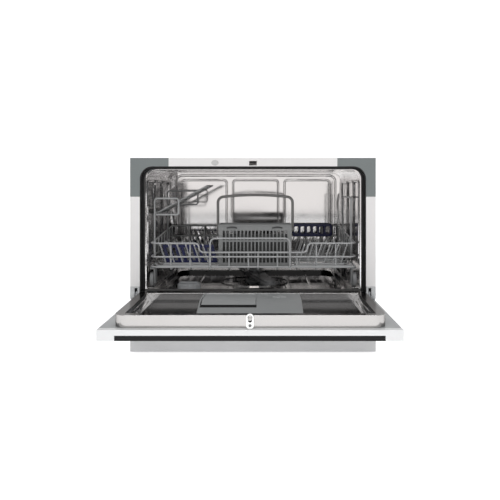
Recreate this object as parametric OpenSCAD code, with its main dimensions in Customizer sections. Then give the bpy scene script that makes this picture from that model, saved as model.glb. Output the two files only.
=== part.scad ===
// Countertop dishwasher with its door folded down and its rack inside, as separate pieces.
// Millimetres. X runs to the right, Y to the back and Z up. The origin is on the worktop,
// under the middle of the whole machine. Each piece is drawn with y = 0 at the cabinet's
// front plane and then shifted, because the open door reaches forward of that plane.

/* [Cabinet] */
// Width across the side panels
body_w = 550; // [520:1:600]
// Depth from the front plane to the back panel
body_d = 478; // [460:1:520]
// Height from the worktop to the top cover
body_h = 438; // [425:1:470]
// Height of the four feet
foot_h = 4; // [3:0.5:7]
// Radius of each foot
foot_r = 16; // [10:1:22]
// Thickness of the painted sheet steel
sheet_t = 1.2; // [0.8:0.1:2]
// Thickness of the moulded front frame
frame_t = 18; // [14:1:20]
// Depth of the coloured trims let into the front frame
trim_t = 2; // [1:0.5:4]
// Height of the plinth below the door
plinth_h = 50; // [40:1:51]
// Radius of the long upper edges of the top cover
cover_edge_r = 5; // [2:1:8]
// Wall of the moulded base tray
base_wall = 3; // [2:0.5:4]

/* [Tub] */
// Distance from the side panel's outside to the inside of the tub
tub_side_gap = 31.5; // [30:0.5:40]
// Distance from the top cover's outside to the inside of the tub
tub_top_gap = 26; // [24:0.5:34]
// Depth of the tub's back wall behind the front plane
tub_d = 400; // [385:1:410]
// Thickness of the stainless sheet
tub_t = 1; // [0.6:0.1:1.6]
// Depth of the dished middle of the tub's floor
floor_drop = 8; // [5:0.5:9]
// Outer corner radius of the door seal
seal_r = 28; // [20:1:36]

/* [Hinge] */
// Height of the hinge axis above the worktop
axis_z = 132; // [130:0.5:140]
// Distance of the hinge axis behind the front plane
axis_y = 12; // [11:0.5:13]
// Radius of the hinge pin
pin_r = 4; // [3:0.25:5]
// Running clearance of pins and wheels, on the radius
run_gap = 0.05; // [0.03:0.01:0.09]
// Thickness of the hinge arm
arm_t = 3; // [2:0.25:4]

/* [Door] */
// Thickness of the door between its outer and its inner face
door_t = 20; // [18:0.5:22]
// Gap between the front frame and the closed door
door_gap = 2; // [1:0.25:3]
// Part of the door below the hinge axis
door_tail = 66; // [55:1:68]
// Gap between the closed door's upper edge and the top cover's level
door_top_gap = 7; // [4:1:10]
// Height of the steel liner above the door's inner face
liner_h = 23; // [18:0.5:24]
// Width of the liner's flat rim at the sides
liner_rim = 17; // [12:1:20]
// Height of the control fascia
panel_h = 70; // [60:1:80]
// Thickness of the control fascia
panel_t = 9.5; // [8:0.5:11]
// Width of the control fascia
panel_w = 485; // [440:1:500]
// Travel of a push button
button_travel = 1.2; // [0.8:0.1:1.6]

/* [Rack] */
// Radius of the coated rack wire
wire_r = 2; // [1.8:0.1:2.2]
// Gap between the rack's outer wires and the tub's side walls
rack_side_gap = 6.5; // [5:0.5:9]
// Front wires' distance behind the front plane
rack_y = 30; // [29.5:0.5:34]
// Gap between the rack's rear wires and the tub's back wall
rack_rear_gap = 17; // [14:0.5:30]
// Height of the floor wires
rack_z = 183.5; // [182:0.5:188]
// Radius of the rack's rollers
roller_r = 16.5; // [14:0.5:17]
// Number of long floor wires on each side of the middle
wire_count = 5; // [4:1:5]

/* [Cutlery basket] */
// Width of the cutlery basket
basket_w = 169; // [150:1:172]
// Depth of the cutlery basket
basket_d = 73; // [60:1:80]
// Height of the cutlery basket
basket_h = 96; // [80:1:100]
// Height of the handle above the basket's rim
handle_rise = 68; // [50:1:72]

/* [Cup shelf] */
// Gap between the lowered shelf and the basket's handle
shelf_gap = 5; // [4:1:30]
// Distance from the tub's top down to the shelf's hinge rod
shelf_drop = 101.4; // [96:0.2:112]
// Angle at which the shelf is folded up
shelf_angle = 28.5; // [20:0.5:32]

/* [Spray arm] */
// Reach of the spray arm
arm_reach = 184; // [150:1:185]
// Radius of the spray arm's shaft
shaft_r = 6; // [4:0.5:8]

/* [Hidden] */
$fn = 48;

// Places shared by several pieces
half_w = body_w / 2;
door_reach = body_h - door_top_gap - axis_z;
front_y = -(body_d - (door_reach - axis_y)) / 2;
seat_gap = 0.3;
weld_gap = 0.05;
tub_half = half_w - tub_side_gap;
tub_top = body_h - tub_top_gap;
tub_floor_z = axis_z + 5;
tub_low = tub_floor_z - tub_t;
open_half = tub_half + 9.8;
open_top = tub_top + 7;
seal_back = frame_t + 13;
door_face = axis_y + door_gap;
pocket_r = norm([door_tail, door_face + door_t]) + 2.8;
pocket_top = axis_z - door_face + 1.5;
base_front = frame_t;
base_back = body_d - 16;
base_low = foot_h + 2;
middle_y = tub_d / 2 + 10;
rack_axle_z = 160;
arm_x = half_w - 13;
cover_z = 150;
cover_in = half_w - 21;

// Moves a piece from the cabinet's front plane to the machine's own frame
module cabinet() { translate([0, front_y, 0]) children(); }

// Moves a piece drawn round the hinge axis, with the door lying open, to its place
module door() { translate([0, front_y + axis_y, axis_z]) children(); }

// A block from its low corner to its high corner
module block(low, high) { translate(low) cube(high - low); }

// A piece and its mirror image on the other side
module both_sides() {
    children();
    mirror([1, 0, 0]) children();
}

// An outline in Y and Z drawn out along X
module along_x(x0, x1) { translate([x0, 0, 0]) rotate([90, 0, 90]) linear_extrude(x1 - x0) children(); }

// An outline in X and Z drawn out along Y
module along_y(y0, y1) { translate([0, y1, 0]) rotate([90, 0, 0]) linear_extrude(y1 - y0) children(); }

// An outline in X and Y drawn out along Z
module along_z(z0, z1) { translate([0, 0, z0]) linear_extrude(z1 - z0) children(); }

// Points of an arc about c, from angle a to angle b
function arc(c, r, a, b, steps = 8) =
    [for (i = [0:steps]) c + r * [cos(a + (b - a) * i / steps), sin(a + (b - a) * i / steps)]];

// Outline of a rectangle with round corners, by its low and high corners
function round_box(low, high, r) = concat(
    arc([high.x - r, low.y + r], r, -90, 0), arc([high.x - r, high.y - r], r, 0, 90),
    arc([low.x + r, high.y - r], r, 90, 180), arc([low.x + r, low.y + r], r, 180, 270));

// Outline of the door opening: round upper corners and square lower ones
function arch(half, low, high, r) = concat(
    [[-half, low], [half, low]], arc([half - r, high - r], r, 0, 90), arc([r - half, high - r], r, 90, 180));

// A straight round rod between two points
module rod(p, q, r) {
    v = q - p;
    l = norm(v);
    translate(p) rotate([0, acos(v.z / l), atan2(v.y, v.x)]) cylinder(h = l, r = r, $fn = 24);
}

// A quarter bend of radius b at a corner where a wire turns from direction u to direction v
module bend(corner, u, v, b, r) {
    n = cross(u, v);
    c = corner - u * b + v * b;
    multmatrix([[-v.x, u.x, n.x, c.x], [-v.y, u.y, n.y, c.y], [-v.z, u.z, n.z, c.z], [0, 0, 0, 1]])
        rotate_extrude(angle = 90, $fn = 48) translate([b, 0]) circle(r, $fn = 24);
}

// A round wire through points that turns square corners, with one bend radius for each inner point
module bent_wire(p, b, r) {
    n = len(p);
    dir = [for (i = [0:n - 2]) (p[i + 1] - p[i]) / norm(p[i + 1] - p[i])];
    cut = [for (i = [0:n - 1]) i == 0 || i == n - 1 ? 0 : b[i - 1]];
    for (i = [0:n - 2])
        if (norm(p[i + 1] - p[i]) > cut[i] + cut[i + 1] + 0.01)
            rod(p[i] + dir[i] * cut[i], p[i + 1] - dir[i] * cut[i + 1], r);
    for (i = [1:n - 2]) bend(p[i], dir[i - 1], dir[i], b[i - 1], r);
}

// ---------------------------------------------------------------- cabinet

// Clears the lower end of the door, which swings up under the tub's front
module door_pocket(extra = 0) {
    intersection() {
        translate([axis_y, axis_z]) circle(pocket_r + extra, $fn = 96);
        translate([-pocket_r, 0]) square([3 * pocket_r, pocket_top + extra]);
    }
}

// Base under the tub: floor pan, curved shield round the door's lower end, side walls, back wall
// and the rim that the tub's floor rests on, clipped together edge to edge
floor_half = tub_half - 34;
floor_y0 = 52;
floor_y1 = tub_d - 26;
tray_half = half_w - 2;
wall_half = tray_half - base_wall;
wall_low = base_low + base_wall + weld_gap;
wall_high = tub_low - base_wall - weld_gap;
shield_z = foot_h + plinth_h + 5;
rib_h = 7;
rib_t = 2.5;
module tray_side() {
    difference() {
        translate([base_front, wall_low]) square([base_back - base_front, wall_high - wall_low]);
        door_pocket();
    }
}
module base_tray() {
    color("dimgray") cabinet() {
        // floor pan with stiffening ribs and slots that let out the pump's heat and any leak
        difference() {
            union() {
                block([-tray_half, base_front, base_low], [tray_half, base_back, base_low + base_wall]);
                for (y = [98, base_back - 132, base_back - 62])
                    block([-wall_half + 1, y, base_low],
                        [wall_half - 1, y + rib_t, base_low + base_wall + rib_h]);
            }
            for (x = [-4:4])
                block([x * 26 - 4, middle_y - 50, base_low - 1],
                    [x * 26 + 4, middle_y + 20, base_low + base_wall + 1]);
        }
        // curved shield
        along_x(-wall_half + weld_gap, wall_half - weld_gap) intersection() {
            difference() {
                door_pocket(base_wall);
                door_pocket();
            }
            translate([base_front, shield_z]) square([body_d, pocket_top - shield_z]);
        }
        block([-wall_half + weld_gap, base_front, wall_low],
            [wall_half - weld_gap, base_front + base_wall, shield_z - weld_gap]);
        // side walls, notched for the hinges
        both_sides() difference() {
            along_x(wall_half, tray_half) tray_side();
            block([cover_in - 4, 0, pocket_top - 10], [half_w, 60, tub_low]);
        }
        // back wall with holes for the water, drain and power connections
        difference() {
            block([-wall_half + weld_gap, base_back - base_wall, wall_low],
                [wall_half - weld_gap, base_back, wall_high]);
            for (x = [inlet_x, drain_x, gland_x])
                translate([x, base_back + 1, port_z]) rotate([90, 0, 0])
                    cylinder(h = base_wall + 2, r = port_hole_r(x));
        }
        // rim
        difference() {
            block([-tray_half, base_front, tub_low - base_wall], [tray_half, base_back, tub_low]);
            block([-(tub_half - 14), floor_y0 + 30, tub_low - 20], [tub_half - 14, tub_d - 10, tub_low + 1]);
            block([-(floor_half + 4), floor_y0 - 4, tub_low - 20],
                [floor_half + 4, floor_y0 + 40, tub_low + 1]);
            both_sides() block([cover_in - 4, 0, tub_low - 20], [half_w, 60, tub_low + 1]);
        }
    }
}

// Connections at the back, seen from behind
inlet_x = 205;
drain_x = 150;
gland_x = -215;
port_z = 44;
inlet_r = 13.2;
drain_r = 10;
gland_r = 9;
collar_y = base_back + seat_gap;
collar_t = 2.2;
neck_r = 1.5;
function port_hole_r(x) = x == gland_x ? gland_r + 0.5 : (x == inlet_x ? inlet_r : drain_r) - neck_r + 0.5;

// Folded steel skirt between the front feet
module plinth() {
    color("lightgray") cabinet() {
        block([-half_w, 0, foot_h], [half_w, sheet_t, foot_h + plinth_h]);
        block([-half_w, sheet_t, foot_h + plinth_h - sheet_t], [half_w, base_front, foot_h + plinth_h]);
        both_sides() block([half_w - sheet_t, sheet_t, foot_h],
            [half_w, base_front, foot_h + plinth_h - sheet_t]);
        // lower hem that stiffens the skirt
        block([sheet_t - half_w, sheet_t, foot_h], [half_w - sheet_t, 8, foot_h + sheet_t]);
    }
}

// Four rubber feet with a shallow ring groove underneath
module feet() {
    color("black") cabinet() for (x = [-1, 1], y = [52, base_back - 40]) translate([x * (half_w - 36), y, 0])
        difference() {
            union() {
                cylinder(h = foot_h, r = foot_r);
                cylinder(h = base_low, r = foot_r - 5);
            }
            translate([0, 0, -1]) difference() {
                cylinder(h = 2, r = foot_r * 0.6);
                translate([0, 0, -1]) cylinder(h = 4, r = foot_r * 0.35);
            }
        }
}

// Side panel: flat sheet with an arc cut for the door's lower end, and folded upper and rear flanges
panel_top = body_h - 14;
module side_panel() {
    difference() {
        along_x(half_w - sheet_t, half_w) difference() {
            translate([frame_t, base_low]) square([body_d - frame_t, panel_top - base_low]);
            door_pocket();
        }
        // pressed louvres low at the back
        for (i = [0:6]) block([half_w - 2 * sheet_t, 330 + i * 14, 70], [half_w + 1, 336 + i * 14, 116]);
    }
    block([half_w - 12, frame_t, panel_top - sheet_t], [half_w - sheet_t, body_d - sheet_t, panel_top]);
    block([half_w - 12, body_d - 2 * sheet_t, tub_low + 4],
        [half_w - sheet_t, body_d - sheet_t, panel_top - sheet_t]);
}
module side_panel_left() { color("white") cabinet() mirror([1, 0, 0]) side_panel(); }
module side_panel_right() { color("white") cabinet() side_panel(); }

// Pressed top cover with round edges and turned-down rims
cover_t = 2;
module cover_profile(inset) {
    r = cover_edge_r - inset;
    w = half_w - inset;
    top = body_h - inset;
    polygon(concat([[-w, panel_top], [w, panel_top]], arc([w - r, top - r], r, 0, 90),
        arc([r - w, top - r], r, 90, 180)));
}
module top_cover() {
    color("white") cabinet() {
        difference() {
            along_y(frame_t, body_d) cover_profile(0);
            translate([0, 0, -0.01]) along_y(frame_t - 1, body_d - cover_t) cover_profile(cover_t);
        }
        // stiffening channels under the sheet
        for (y = [150, 300])
            block([-(half_w - 20), y, body_h - cover_t - 4], [half_w - 20, y + 16, body_h - cover_t]);
    }
}

// Rear sheet with pressed stiffening beads
module back_panel() {
    color("lightgray") cabinet() {
        difference() {
            block([-(half_w - sheet_t), body_d - sheet_t, tub_low - 40],
                [half_w - sheet_t, body_d, panel_top]);
            for (i = [0:9]) block([-150 + i * 12, body_d - 2, tub_low - 26],
                [-144 + i * 12, body_d + 1, tub_low + 16]);
        }
        for (x = [-150, 0, 150])
            along_y(body_d - sheet_t - 4, body_d - sheet_t)
                polygon(round_box([x - 12, 190], [x + 12, 390], 11));
        // lower edge folded in to the base tray
        block([-(half_w - 14), base_back, tub_low - 40],
            [half_w - 14, body_d - sheet_t, tub_low - 40 + sheet_t]);
    }
}

// Moulded frame round the door opening, with recesses for the corner trims and a slot for the latch
slot_x = 8.5;
slot_z0 = body_h - 17;
slot_z1 = body_h - 7;
trim_w = 86;
trim_drop = 87;
module opening(y0, y1, grow = 0) {
    along_y(y0, y1) polygon(arch(open_half + grow, -10, open_top + grow, seal_r + grow));
}
module trim_outline() {
    difference() {
        translate([half_w - trim_w, body_h - trim_drop]) square([trim_w, trim_drop]);
        polygon(arch(open_half, 0, open_top, seal_r));
    }
}
module front_frame() {
    color("whitesmoke") cabinet() difference() {
        block([-half_w, 0, cover_z], [half_w, frame_t, body_h]);
        opening(-1, frame_t + 1);
        both_sides() along_y(-1, trim_t) trim_outline();
        block([-slot_x, -1, slot_z0], [slot_x, frame_t + 1, slot_z1]);
        // shallow dimple over the latch's fixing screw
        translate([-85, -0.01, body_h - 11]) rotate([-90, 0, 0]) cylinder(h = 3, r = 5.5);
        // lightening pockets behind the columns
        both_sides() block([open_half + 6, 8, cover_z + 20], [half_w - 4, frame_t + 1, open_top - 40]);
    }
}

// Grey corner trims clipped into the front frame
module corner_trims() { color("slategray") cabinet() both_sides() along_y(0, trim_t) trim_outline(); }

// Moulded covers over the hinges, hollow, with a slot that the hinge arm swings through
nose_r = door_face - 0.6;
module hinge_cover_outline(inset) {
    top = cover_z - inset;
    r = nose_r - inset;
    back = 44 - inset;
    polygon(concat([[inset, top]], arc([axis_y, axis_z], r, 152, 270, 14),
        [[back, axis_z - r], [back, top]]));
}
module hinge_cover() {
    wall = 1.6;
    difference() {
        intersection() {
            along_x(cover_in, half_w) hinge_cover_outline(0);
            block([0, -10, 0], [half_w, frame_t, cover_z]);
        }
        along_x(cover_in - 1, half_w - wall) hinge_cover_outline(wall);
        along_x(arm_x - arm_t / 2 - 2, arm_x + arm_t / 2 + 1.5)
            translate([axis_y - nose_r - 1, axis_z - 30]) square([60, 44.5]);
    }
}
module hinge_covers() { color("gray") cabinet() both_sides() hinge_cover(); }

// ---------------------------------------------------------------- tub

// Corner radius of the tub between its walls
tub_r = 22;

// Stainless wrap and back wall with pressed beads, and a front flange for the seal
module tub_shell_outline(grow) {
    polygon(arch(tub_half + grow, tub_floor_z, tub_top + grow, tub_r + grow));
}
bead_w = 6;
bead_h = 2;
module bead_section() {
    polygon([[-bead_w / 2, -tub_t / 2], [bead_w / 2, -tub_t / 2], [bead_w / 2, 0], [bead_w / 5, bead_h],
        [-bead_w / 5, bead_h], [-bead_w / 2, 0]]);
}

// A closed bead round a rectangle, raised along Z
module bead_ring(low, high, r) {
    size = high - low;
    for (s = [[low.x, high.y - r, 0, size.y], [high.x, low.y + r, 180, size.y],
        [low.x + r, low.y, 90, size.x], [high.x - r, high.y, 270, size.x]])
        translate([s[0], s[1], 0]) rotate([90, 0, s[2]]) linear_extrude(s[3] - 2 * r) bead_section();
    for (c = [[high.x - r, high.y - r, 0], [low.x + r, high.y - r, 90], [low.x + r, low.y + r, 180],
        [high.x - r, low.y + r, 270]])
        translate([c[0], c[1], 0]) rotate([0, 0, c[2]]) rotate_extrude(angle = 90, $fn = 24)
            translate([r, 0]) bead_section();
}
back_columns = [[-0.871, -0.34], [-0.265, 0.265], [0.34, 0.871]];
side_columns = [[0.1, 0.2875], [0.3375, 0.5725], [0.6225, 0.9]];
bead_low = 200;
module tub() {
    color("silver") cabinet() {
        difference() {
            union() {
                along_y(seal_back - tub_t, tub_d + tub_t) tub_shell_outline(tub_t);
                along_y(seal_back - tub_t, seal_back)
                    polygon(arch(open_half, tub_floor_z, open_top, seal_r));
            }
            along_y(seal_back - tub_t - 1, tub_d) translate([0, -0.01]) tub_shell_outline(0);
        }
        // beads on the back wall: one round it all and three columns inside that
        translate([0, tub_d, 0]) rotate([90, 0, 0]) {
            bead_ring([15 - tub_half, bead_low - 35], [tub_half - 15, tub_top - 7], 18);
            for (c = back_columns) bead_ring([c[0] * tub_half, bead_low - 10],
                [c[1] * tub_half, tub_top - 20], 9);
        }
        // beads on the side walls
        both_sides() translate([tub_half, 0, 0]) rotate([0, -90, 0])
            for (c = side_columns) bead_ring([bead_low, c[0] * tub_d], [tub_top - 26, c[1] * tub_d], 9);
    }
}

// Stainless floor: two raised rack rails, a dished middle, a rolled sill and the mouth of the sump
rail_in = tub_half - 18;
rail_top = rack_axle_z - roller_r - seat_gap;
sump_r = 80;
cap_x = -154;
cap_y = 98;
cap_neck_r = 24;
floor_ribs = [[-139, 132, tub_d - 60], [-64, 64, 132], [79, 64, 160], [139, 64, tub_d - 60]];
module tub_floor() {
    color("silver") cabinet() {
        difference() {
            union() {
                block([-tub_half - tub_t, axis_y, tub_low], [tub_half + tub_t, tub_d + tub_t, tub_floor_z]);
                both_sides() block([rail_in, 26, tub_floor_z], [tub_half, tub_d, rail_top]);
                translate([0, 0, tub_floor_z - floor_drop - tub_t]) linear_extrude(floor_drop)
                    polygon(round_box([-floor_half - tub_t, floor_y0 - tub_t],
                        [floor_half + tub_t, floor_y1 + tub_t], 31));
                // rolled sill, bent down round the hinge axis
                along_x(-open_half + 0.5, open_half - 0.5) intersection() {
                    difference() {
                        translate([axis_y, axis_z]) circle(nose_r - 0.2, $fn = 96);
                        translate([axis_y, axis_z]) circle(nose_r - 1.4, $fn = 96);
                    }
                    translate([axis_y - 20, axis_z - 20]) square([20, 25]);
                }
                block([-tub_half - tub_t, 0.6, tub_low], [tub_half + tub_t, axis_y, tub_floor_z]);
            }
            along_z(tub_floor_z - floor_drop, tub_floor_z + 1)
                polygon(round_box([-floor_half, floor_y0], [floor_half, floor_y1], 30));
            translate([0, middle_y, 0]) cylinder(h = tub_floor_z, r = sump_r);
            translate([cap_x, cap_y, 0]) cylinder(h = tub_floor_z, r = cap_neck_r + 1);
            // hollow under each rail
            both_sides() block([rail_in + 2, 28, tub_low - 1], [tub_half - 2, tub_d - 2, rail_top - tub_t]);
        }
        // pressed ribs in the dished middle
        for (r = floor_ribs) along_y(r[1], r[2]) translate([r[0], tub_floor_z - floor_drop])
            polygon([[-3, -tub_t / 2], [3, -tub_t / 2], [3, 0], [1.2, 1.8], [-1.2, 1.8], [-3, 0]]);
    }
}

// Black rubber seal in a channel that the liner enters when the door is closed
module door_seal() {
    color("black") cabinet() difference() {
        along_y(0, seal_back - tub_t) polygon(arch(open_half, tub_floor_z, open_top, seal_r));
        along_y(-1, seal_back - 9) translate([0, -1])
            polygon(arch(open_half - 1.6, tub_floor_z, open_top - 0.6, seal_r - 1.6));
        along_y(-1, seal_back) translate([0, -1])
            polygon(arch(open_half - 5.6, tub_floor_z, open_top - 4.6, seal_r - 5.6));
    }
}

// Rubber lip along the sill, low enough for the rack's rollers
sill_h = rail_top - tub_floor_z - 0.4;
module sill_seal() {
    color("black") cabinet() along_x(-(tub_half - 0.5), tub_half - 0.5) translate([8, tub_floor_z])
        polygon([[0, 0], [6, 0], [5, 2.5], [3.4, 3], [2.4, sill_h], [0.6, sill_h]]);
}

// Steel brackets inside the hinge covers, each with the fixed hinge pin
module hinge_brackets() {
    plate_in = cover_in + 2.2;
    plate_out = plate_in + 2.5;
    pin_end = arm_x + arm_t / 2 + 8;
    color("gainsboro") cabinet() both_sides() {
        along_x(plate_in, plate_out) difference() {
            union() {
                translate([axis_y, axis_z]) circle(9);
                translate([axis_y - 6, axis_z]) square([34, 15]);
                translate([frame_t, axis_z]) square([33, 70]);
            }
            for (z = [28, 50]) translate([frame_t + 20, axis_z + z]) circle(4);
        }
        // flange screwed to the front frame
        block([plate_in, frame_t, cover_z + 2], [half_w - 4, frame_t + 2, axis_z + 70]);
        translate([plate_out, axis_y, axis_z]) rotate([0, 90, 0])
            cylinder(h = pin_end - plate_out, r = pin_r);
        translate([pin_end, axis_y, axis_z]) rotate([0, 90, 0]) cylinder(h = 1.5, r = pin_r + 2);
    }
}

// Torsion springs wound round the hinge pins
spring_wire = 1.2;
spring_turns = 4;
spring_r = pin_r + 2;
module hinge_springs() {
    steps = 10;
    count = spring_turns * steps;
    pitch = 1.55;
    start_x = arm_x + arm_t / 2 + 1.1;
    centre = [for (i = [0:count])
        [start_x + pitch * i / steps, axis_y + spring_r * cos(360 * i / steps),
            axis_z + spring_r * sin(360 * i / steps)]];
    ring = [for (i = [0:count], k = [0:5])
        let (a = 360 * i / steps, b = 60 * k)
        centre[i] + spring_wire / 2 * [sin(b), cos(b) * cos(a), cos(b) * sin(a)]];
    sides = [for (i = [0:count - 1], k = [0:5])
        let (p = 6 * i + k, q = 6 * i + (k + 1) % 6) each [[p, q, p + 6], [q, q + 6, p + 6]]];
    first = [for (k = [1:4]) [0, k + 1, k]];
    last = [for (k = [1:4]) [6 * count, 6 * count + k, 6 * count + k + 1]];
    color("silver") cabinet() both_sides() polyhedron(points = ring, faces = concat(sides, first, last));
}

// Closed housing of the door latch, above the tub
module latch_housing() {
    color("white") cabinet() difference() {
        block([-30, frame_t, tub_top + 8], [30, 58, body_h - 9]);
        block([-slot_x, frame_t - 1, slot_z0 - 0.5], [slot_x, frame_t + 24, slot_z1 - 1]);
        both_sides() block([22, frame_t + 4, tub_top + 7], [31, 50, body_h - 14]);
    }
}

// ---------------------------------------------------------------- under the tub

floor_low = tub_floor_z - floor_drop;
sump_low = 66;

// Moulded bowl below the tub's floor, with ports for both pumps
module sump() {
    color("darkgray") cabinet() {
        difference() {
            union() {
                translate([0, middle_y, sump_low])
                    cylinder(h = floor_low - tub_t - sump_low, r = sump_r + 2);
                translate([0, middle_y, floor_low - tub_t - 8]) cylinder(h = 8, r = sump_r + 8);
                rod([40, middle_y, sump_low + 20], [pump_x0, middle_y, sump_low + 20], 15);
                rod([-40, middle_y, sump_low + 14], [drain_pump_x, middle_y, sump_low + 14], 10);
            }
            translate([0, middle_y, sump_low + 3]) cylinder(h = floor_low, r = sump_r - 1);
            rod([40, middle_y, sump_low + 20], [pump_x0 + 1, middle_y, sump_low + 20], 12);
            rod([-40, middle_y, sump_low + 14], [drain_pump_x - 1, middle_y, sump_low + 14], 7);
        }
        // legs down to the base tray
        for (a = [45, 135, 225, 315]) translate([58 * cos(a), middle_y + 58 * sin(a), base_low + base_wall])
            cylinder(h = sump_low - base_low - base_wall, r = 5);
    }
}

// Perforated steel filter plate over the sump, with a seat for the coarse filter
filter_x = 38;
filter_y = middle_y - 37;
filter_r = 24;
module filter_plate() {
    color("silver") cabinet() difference() {
        union() {
            translate([0, middle_y, floor_low]) cylinder(h = 1.2, r = sump_r + 5);
            translate([0, middle_y, floor_low]) difference() {
                cylinder(h = 2.4, r = sump_r + 5);
                translate([0, 0, -1]) cylinder(h = 5, r = sump_r + 3);
            }
        }
        translate([filter_x, filter_y, floor_low - 1]) cylinder(h = 5, r = filter_r + seat_gap);
        // drain slots in rings round the spray hub
        for (r = [34, 44, 54, 64, 74], k = [0:17])
            let (a = 20 * k, x = r * cos(a), y = r * sin(a))
            if (norm([x - filter_x, middle_y + y - filter_y]) > filter_r + 7)
                translate([x, middle_y + y, floor_low - 1]) rotate([0, 0, a]) cube([3, 6, 6], center = true);
    }
}

// Fixed hub with the shaft that the spray arm turns on, and the cap that keeps the arm on
arm_z = floor_low + 18;
arm_hub_h = 11;
module spray_hub() {
    color("gray") cabinet() translate([0, middle_y, 0]) rotate_extrude($fn = 64)
        polygon([[0, floor_low + 1.2], [22, floor_low + 1.2], [20, floor_low + 5], [13, floor_low + 9],
            [13, arm_z - seat_gap], [shaft_r, arm_z - seat_gap], [shaft_r, arm_z + arm_hub_h + seat_gap],
            [15, arm_z + arm_hub_h + seat_gap], [13, arm_z + arm_hub_h + 5], [6, arm_z + arm_hub_h + 8],
            [0, arm_z + arm_hub_h + 8]]);
}

// Hollow spray arm: a hub and two tapering blades with spray holes
module blade_outline(grow = 0) {
    tip = arm_reach - 16;
    polygon(concat([[0, -24], [60, -23]], arc([tip, 0], 16, -78, 78, 10), [[60, 23], [0, 24]]));
}
module spray_arm() {
    color("lightgray") cabinet() translate([0, middle_y, 0]) rotate([0, 0, -77]) difference() {
        union() {
            translate([0, 0, arm_z]) cylinder(h = arm_hub_h, r = 26);
            for (s = [0, 180]) rotate([0, 0, s]) {
                along_z(arm_z + 1, arm_z + 6) blade_outline();
                along_z(arm_z + 6, arm_z + 8.5) scale([0.97, 0.72, 1]) blade_outline();
            }
        }
        translate([0, 0, arm_z - 1]) cylinder(h = arm_hub_h + 2, r = shaft_r + run_gap);
        for (s = [0, 180], i = [0:3]) rotate([0, 0, s])
            translate([52 + i * 32, i % 2 == 0 ? 7 : -6, arm_z + 4]) cylinder(h = 8, r = 1.8);
        for (s = [0, 180]) rotate([0, 0, s]) translate([arm_reach - 14, 0, arm_z + 4])
            cylinder(h = 8, r = 2.2);
    }
}

// Coarse filter: a perforated cup with two grips, turned to lock it
module coarse_filter() {
    rim_z = floor_low + 1.2 + seat_gap;
    color("gray") cabinet() translate([filter_x, filter_y, 0]) {
        difference() {
            union() {
                translate([0, 0, rim_z]) cylinder(h = 2.5, r = filter_r + 4);
                translate([0, 0, sump_low + 18]) cylinder(h = rim_z - sump_low - 18, r = filter_r - 0.2);
            }
            translate([0, 0, sump_low + 20]) cylinder(h = 100, r = filter_r - 3);
            for (k = [0:11], z = [sump_low + 26, sump_low + 42]) rotate([0, 0, 30 * k])
                block([filter_r - 6, -3, z], [filter_r + 2, 3, z + 10]);
        }
        for (s = [0, 180]) rotate([0, 0, s])
            block([filter_r - 1, -5, rim_z + 2], [filter_r + 2, 5, rim_z + 9]);
    }
}

// Water softener between the door pocket and the drain pump, with its neck through the tub's floor
drain_motor_r = 26;
module softener() {
    y0 = axis_y + pocket_r + base_wall + 5;
    y1 = middle_y - drain_motor_r - 5;
    x0 = cap_x - 56;
    x1 = cap_x + 58;
    top = floor_low - tub_t;
    color("whitesmoke") cabinet() difference() {
        union() {
            block([x0, y0, base_low + 12], [x1, y1, top - 5.4]);
            block([x0, cap_y - 29, top - 5.4], [x1, y1, top]);
            translate([cap_x, cap_y, top]) cylinder(h = tub_t + 2, r = cap_neck_r);
            for (x = [x0 + 6, x1 - 12]) block([x, y0 + 10, base_low + base_wall],
                [x + 6, y1 - 10, base_low + 12]);
        }
        translate([cap_x, cap_y, top - 4]) cylinder(h = 20, r = cap_neck_r - 6);
    }
}

// Screw cap of the salt container, with grip ribs
module salt_cap() {
    z = floor_low + 2 + seat_gap;
    color("lightgray") cabinet() translate([cap_x, cap_y, z]) {
        difference() {
            union() {
                cylinder(h = 9, r = cap_neck_r + 4);
                translate([0, 0, 9]) cylinder(h = 3, r1 = cap_neck_r + 4, r2 = cap_neck_r + 1, $fn = 64);
            }
            for (k = [0:11]) rotate([0, 0, 30 * k]) translate([cap_neck_r + 5, 0, 2])
                cylinder(h = 20, r = 2.6);
        }
        block([-(cap_neck_r - 3), -3, 12], [cap_neck_r - 3, 3, 15]);
    }
}

// Circulation pump with a flow heater round its volute
pump_x0 = 92;
pump_z = sump_low + 20;
module circulation_pump() {
    color("dimgray") cabinet() {
        difference() {
            union() {
                translate([pump_x0, middle_y, pump_z]) rotate([0, 90, 0]) cylinder(h = 34, r = 40);
                translate([pump_x0 + 34, middle_y, pump_z]) rotate([0, 90, 0]) cylinder(h = 6, r = 36);
                translate([pump_x0 + 40, middle_y, pump_z]) rotate([0, 90, 0]) cylinder(h = 70, r = 32);
                translate([pump_x0 + 110, middle_y, pump_z]) rotate([0, 90, 0]) cylinder(h = 8, r = 14);
            }
            for (k = [0:11]) translate([pump_x0 + 48, middle_y, pump_z]) rotate([30 * k, 0, 0])
                block([0, 28, -2], [54, 40, 2]);
        }
        for (x = [pump_x0 + 8, pump_x0 + 90]) difference() {
            block([x, middle_y - 20, base_low + base_wall], [x + 10, middle_y + 20, pump_z]);
            translate([x - 1, middle_y, pump_z]) rotate([0, 90, 0])
                cylinder(h = 12, r = x < pump_x0 + 40 ? 40 : 32);
        }
    }
}

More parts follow.
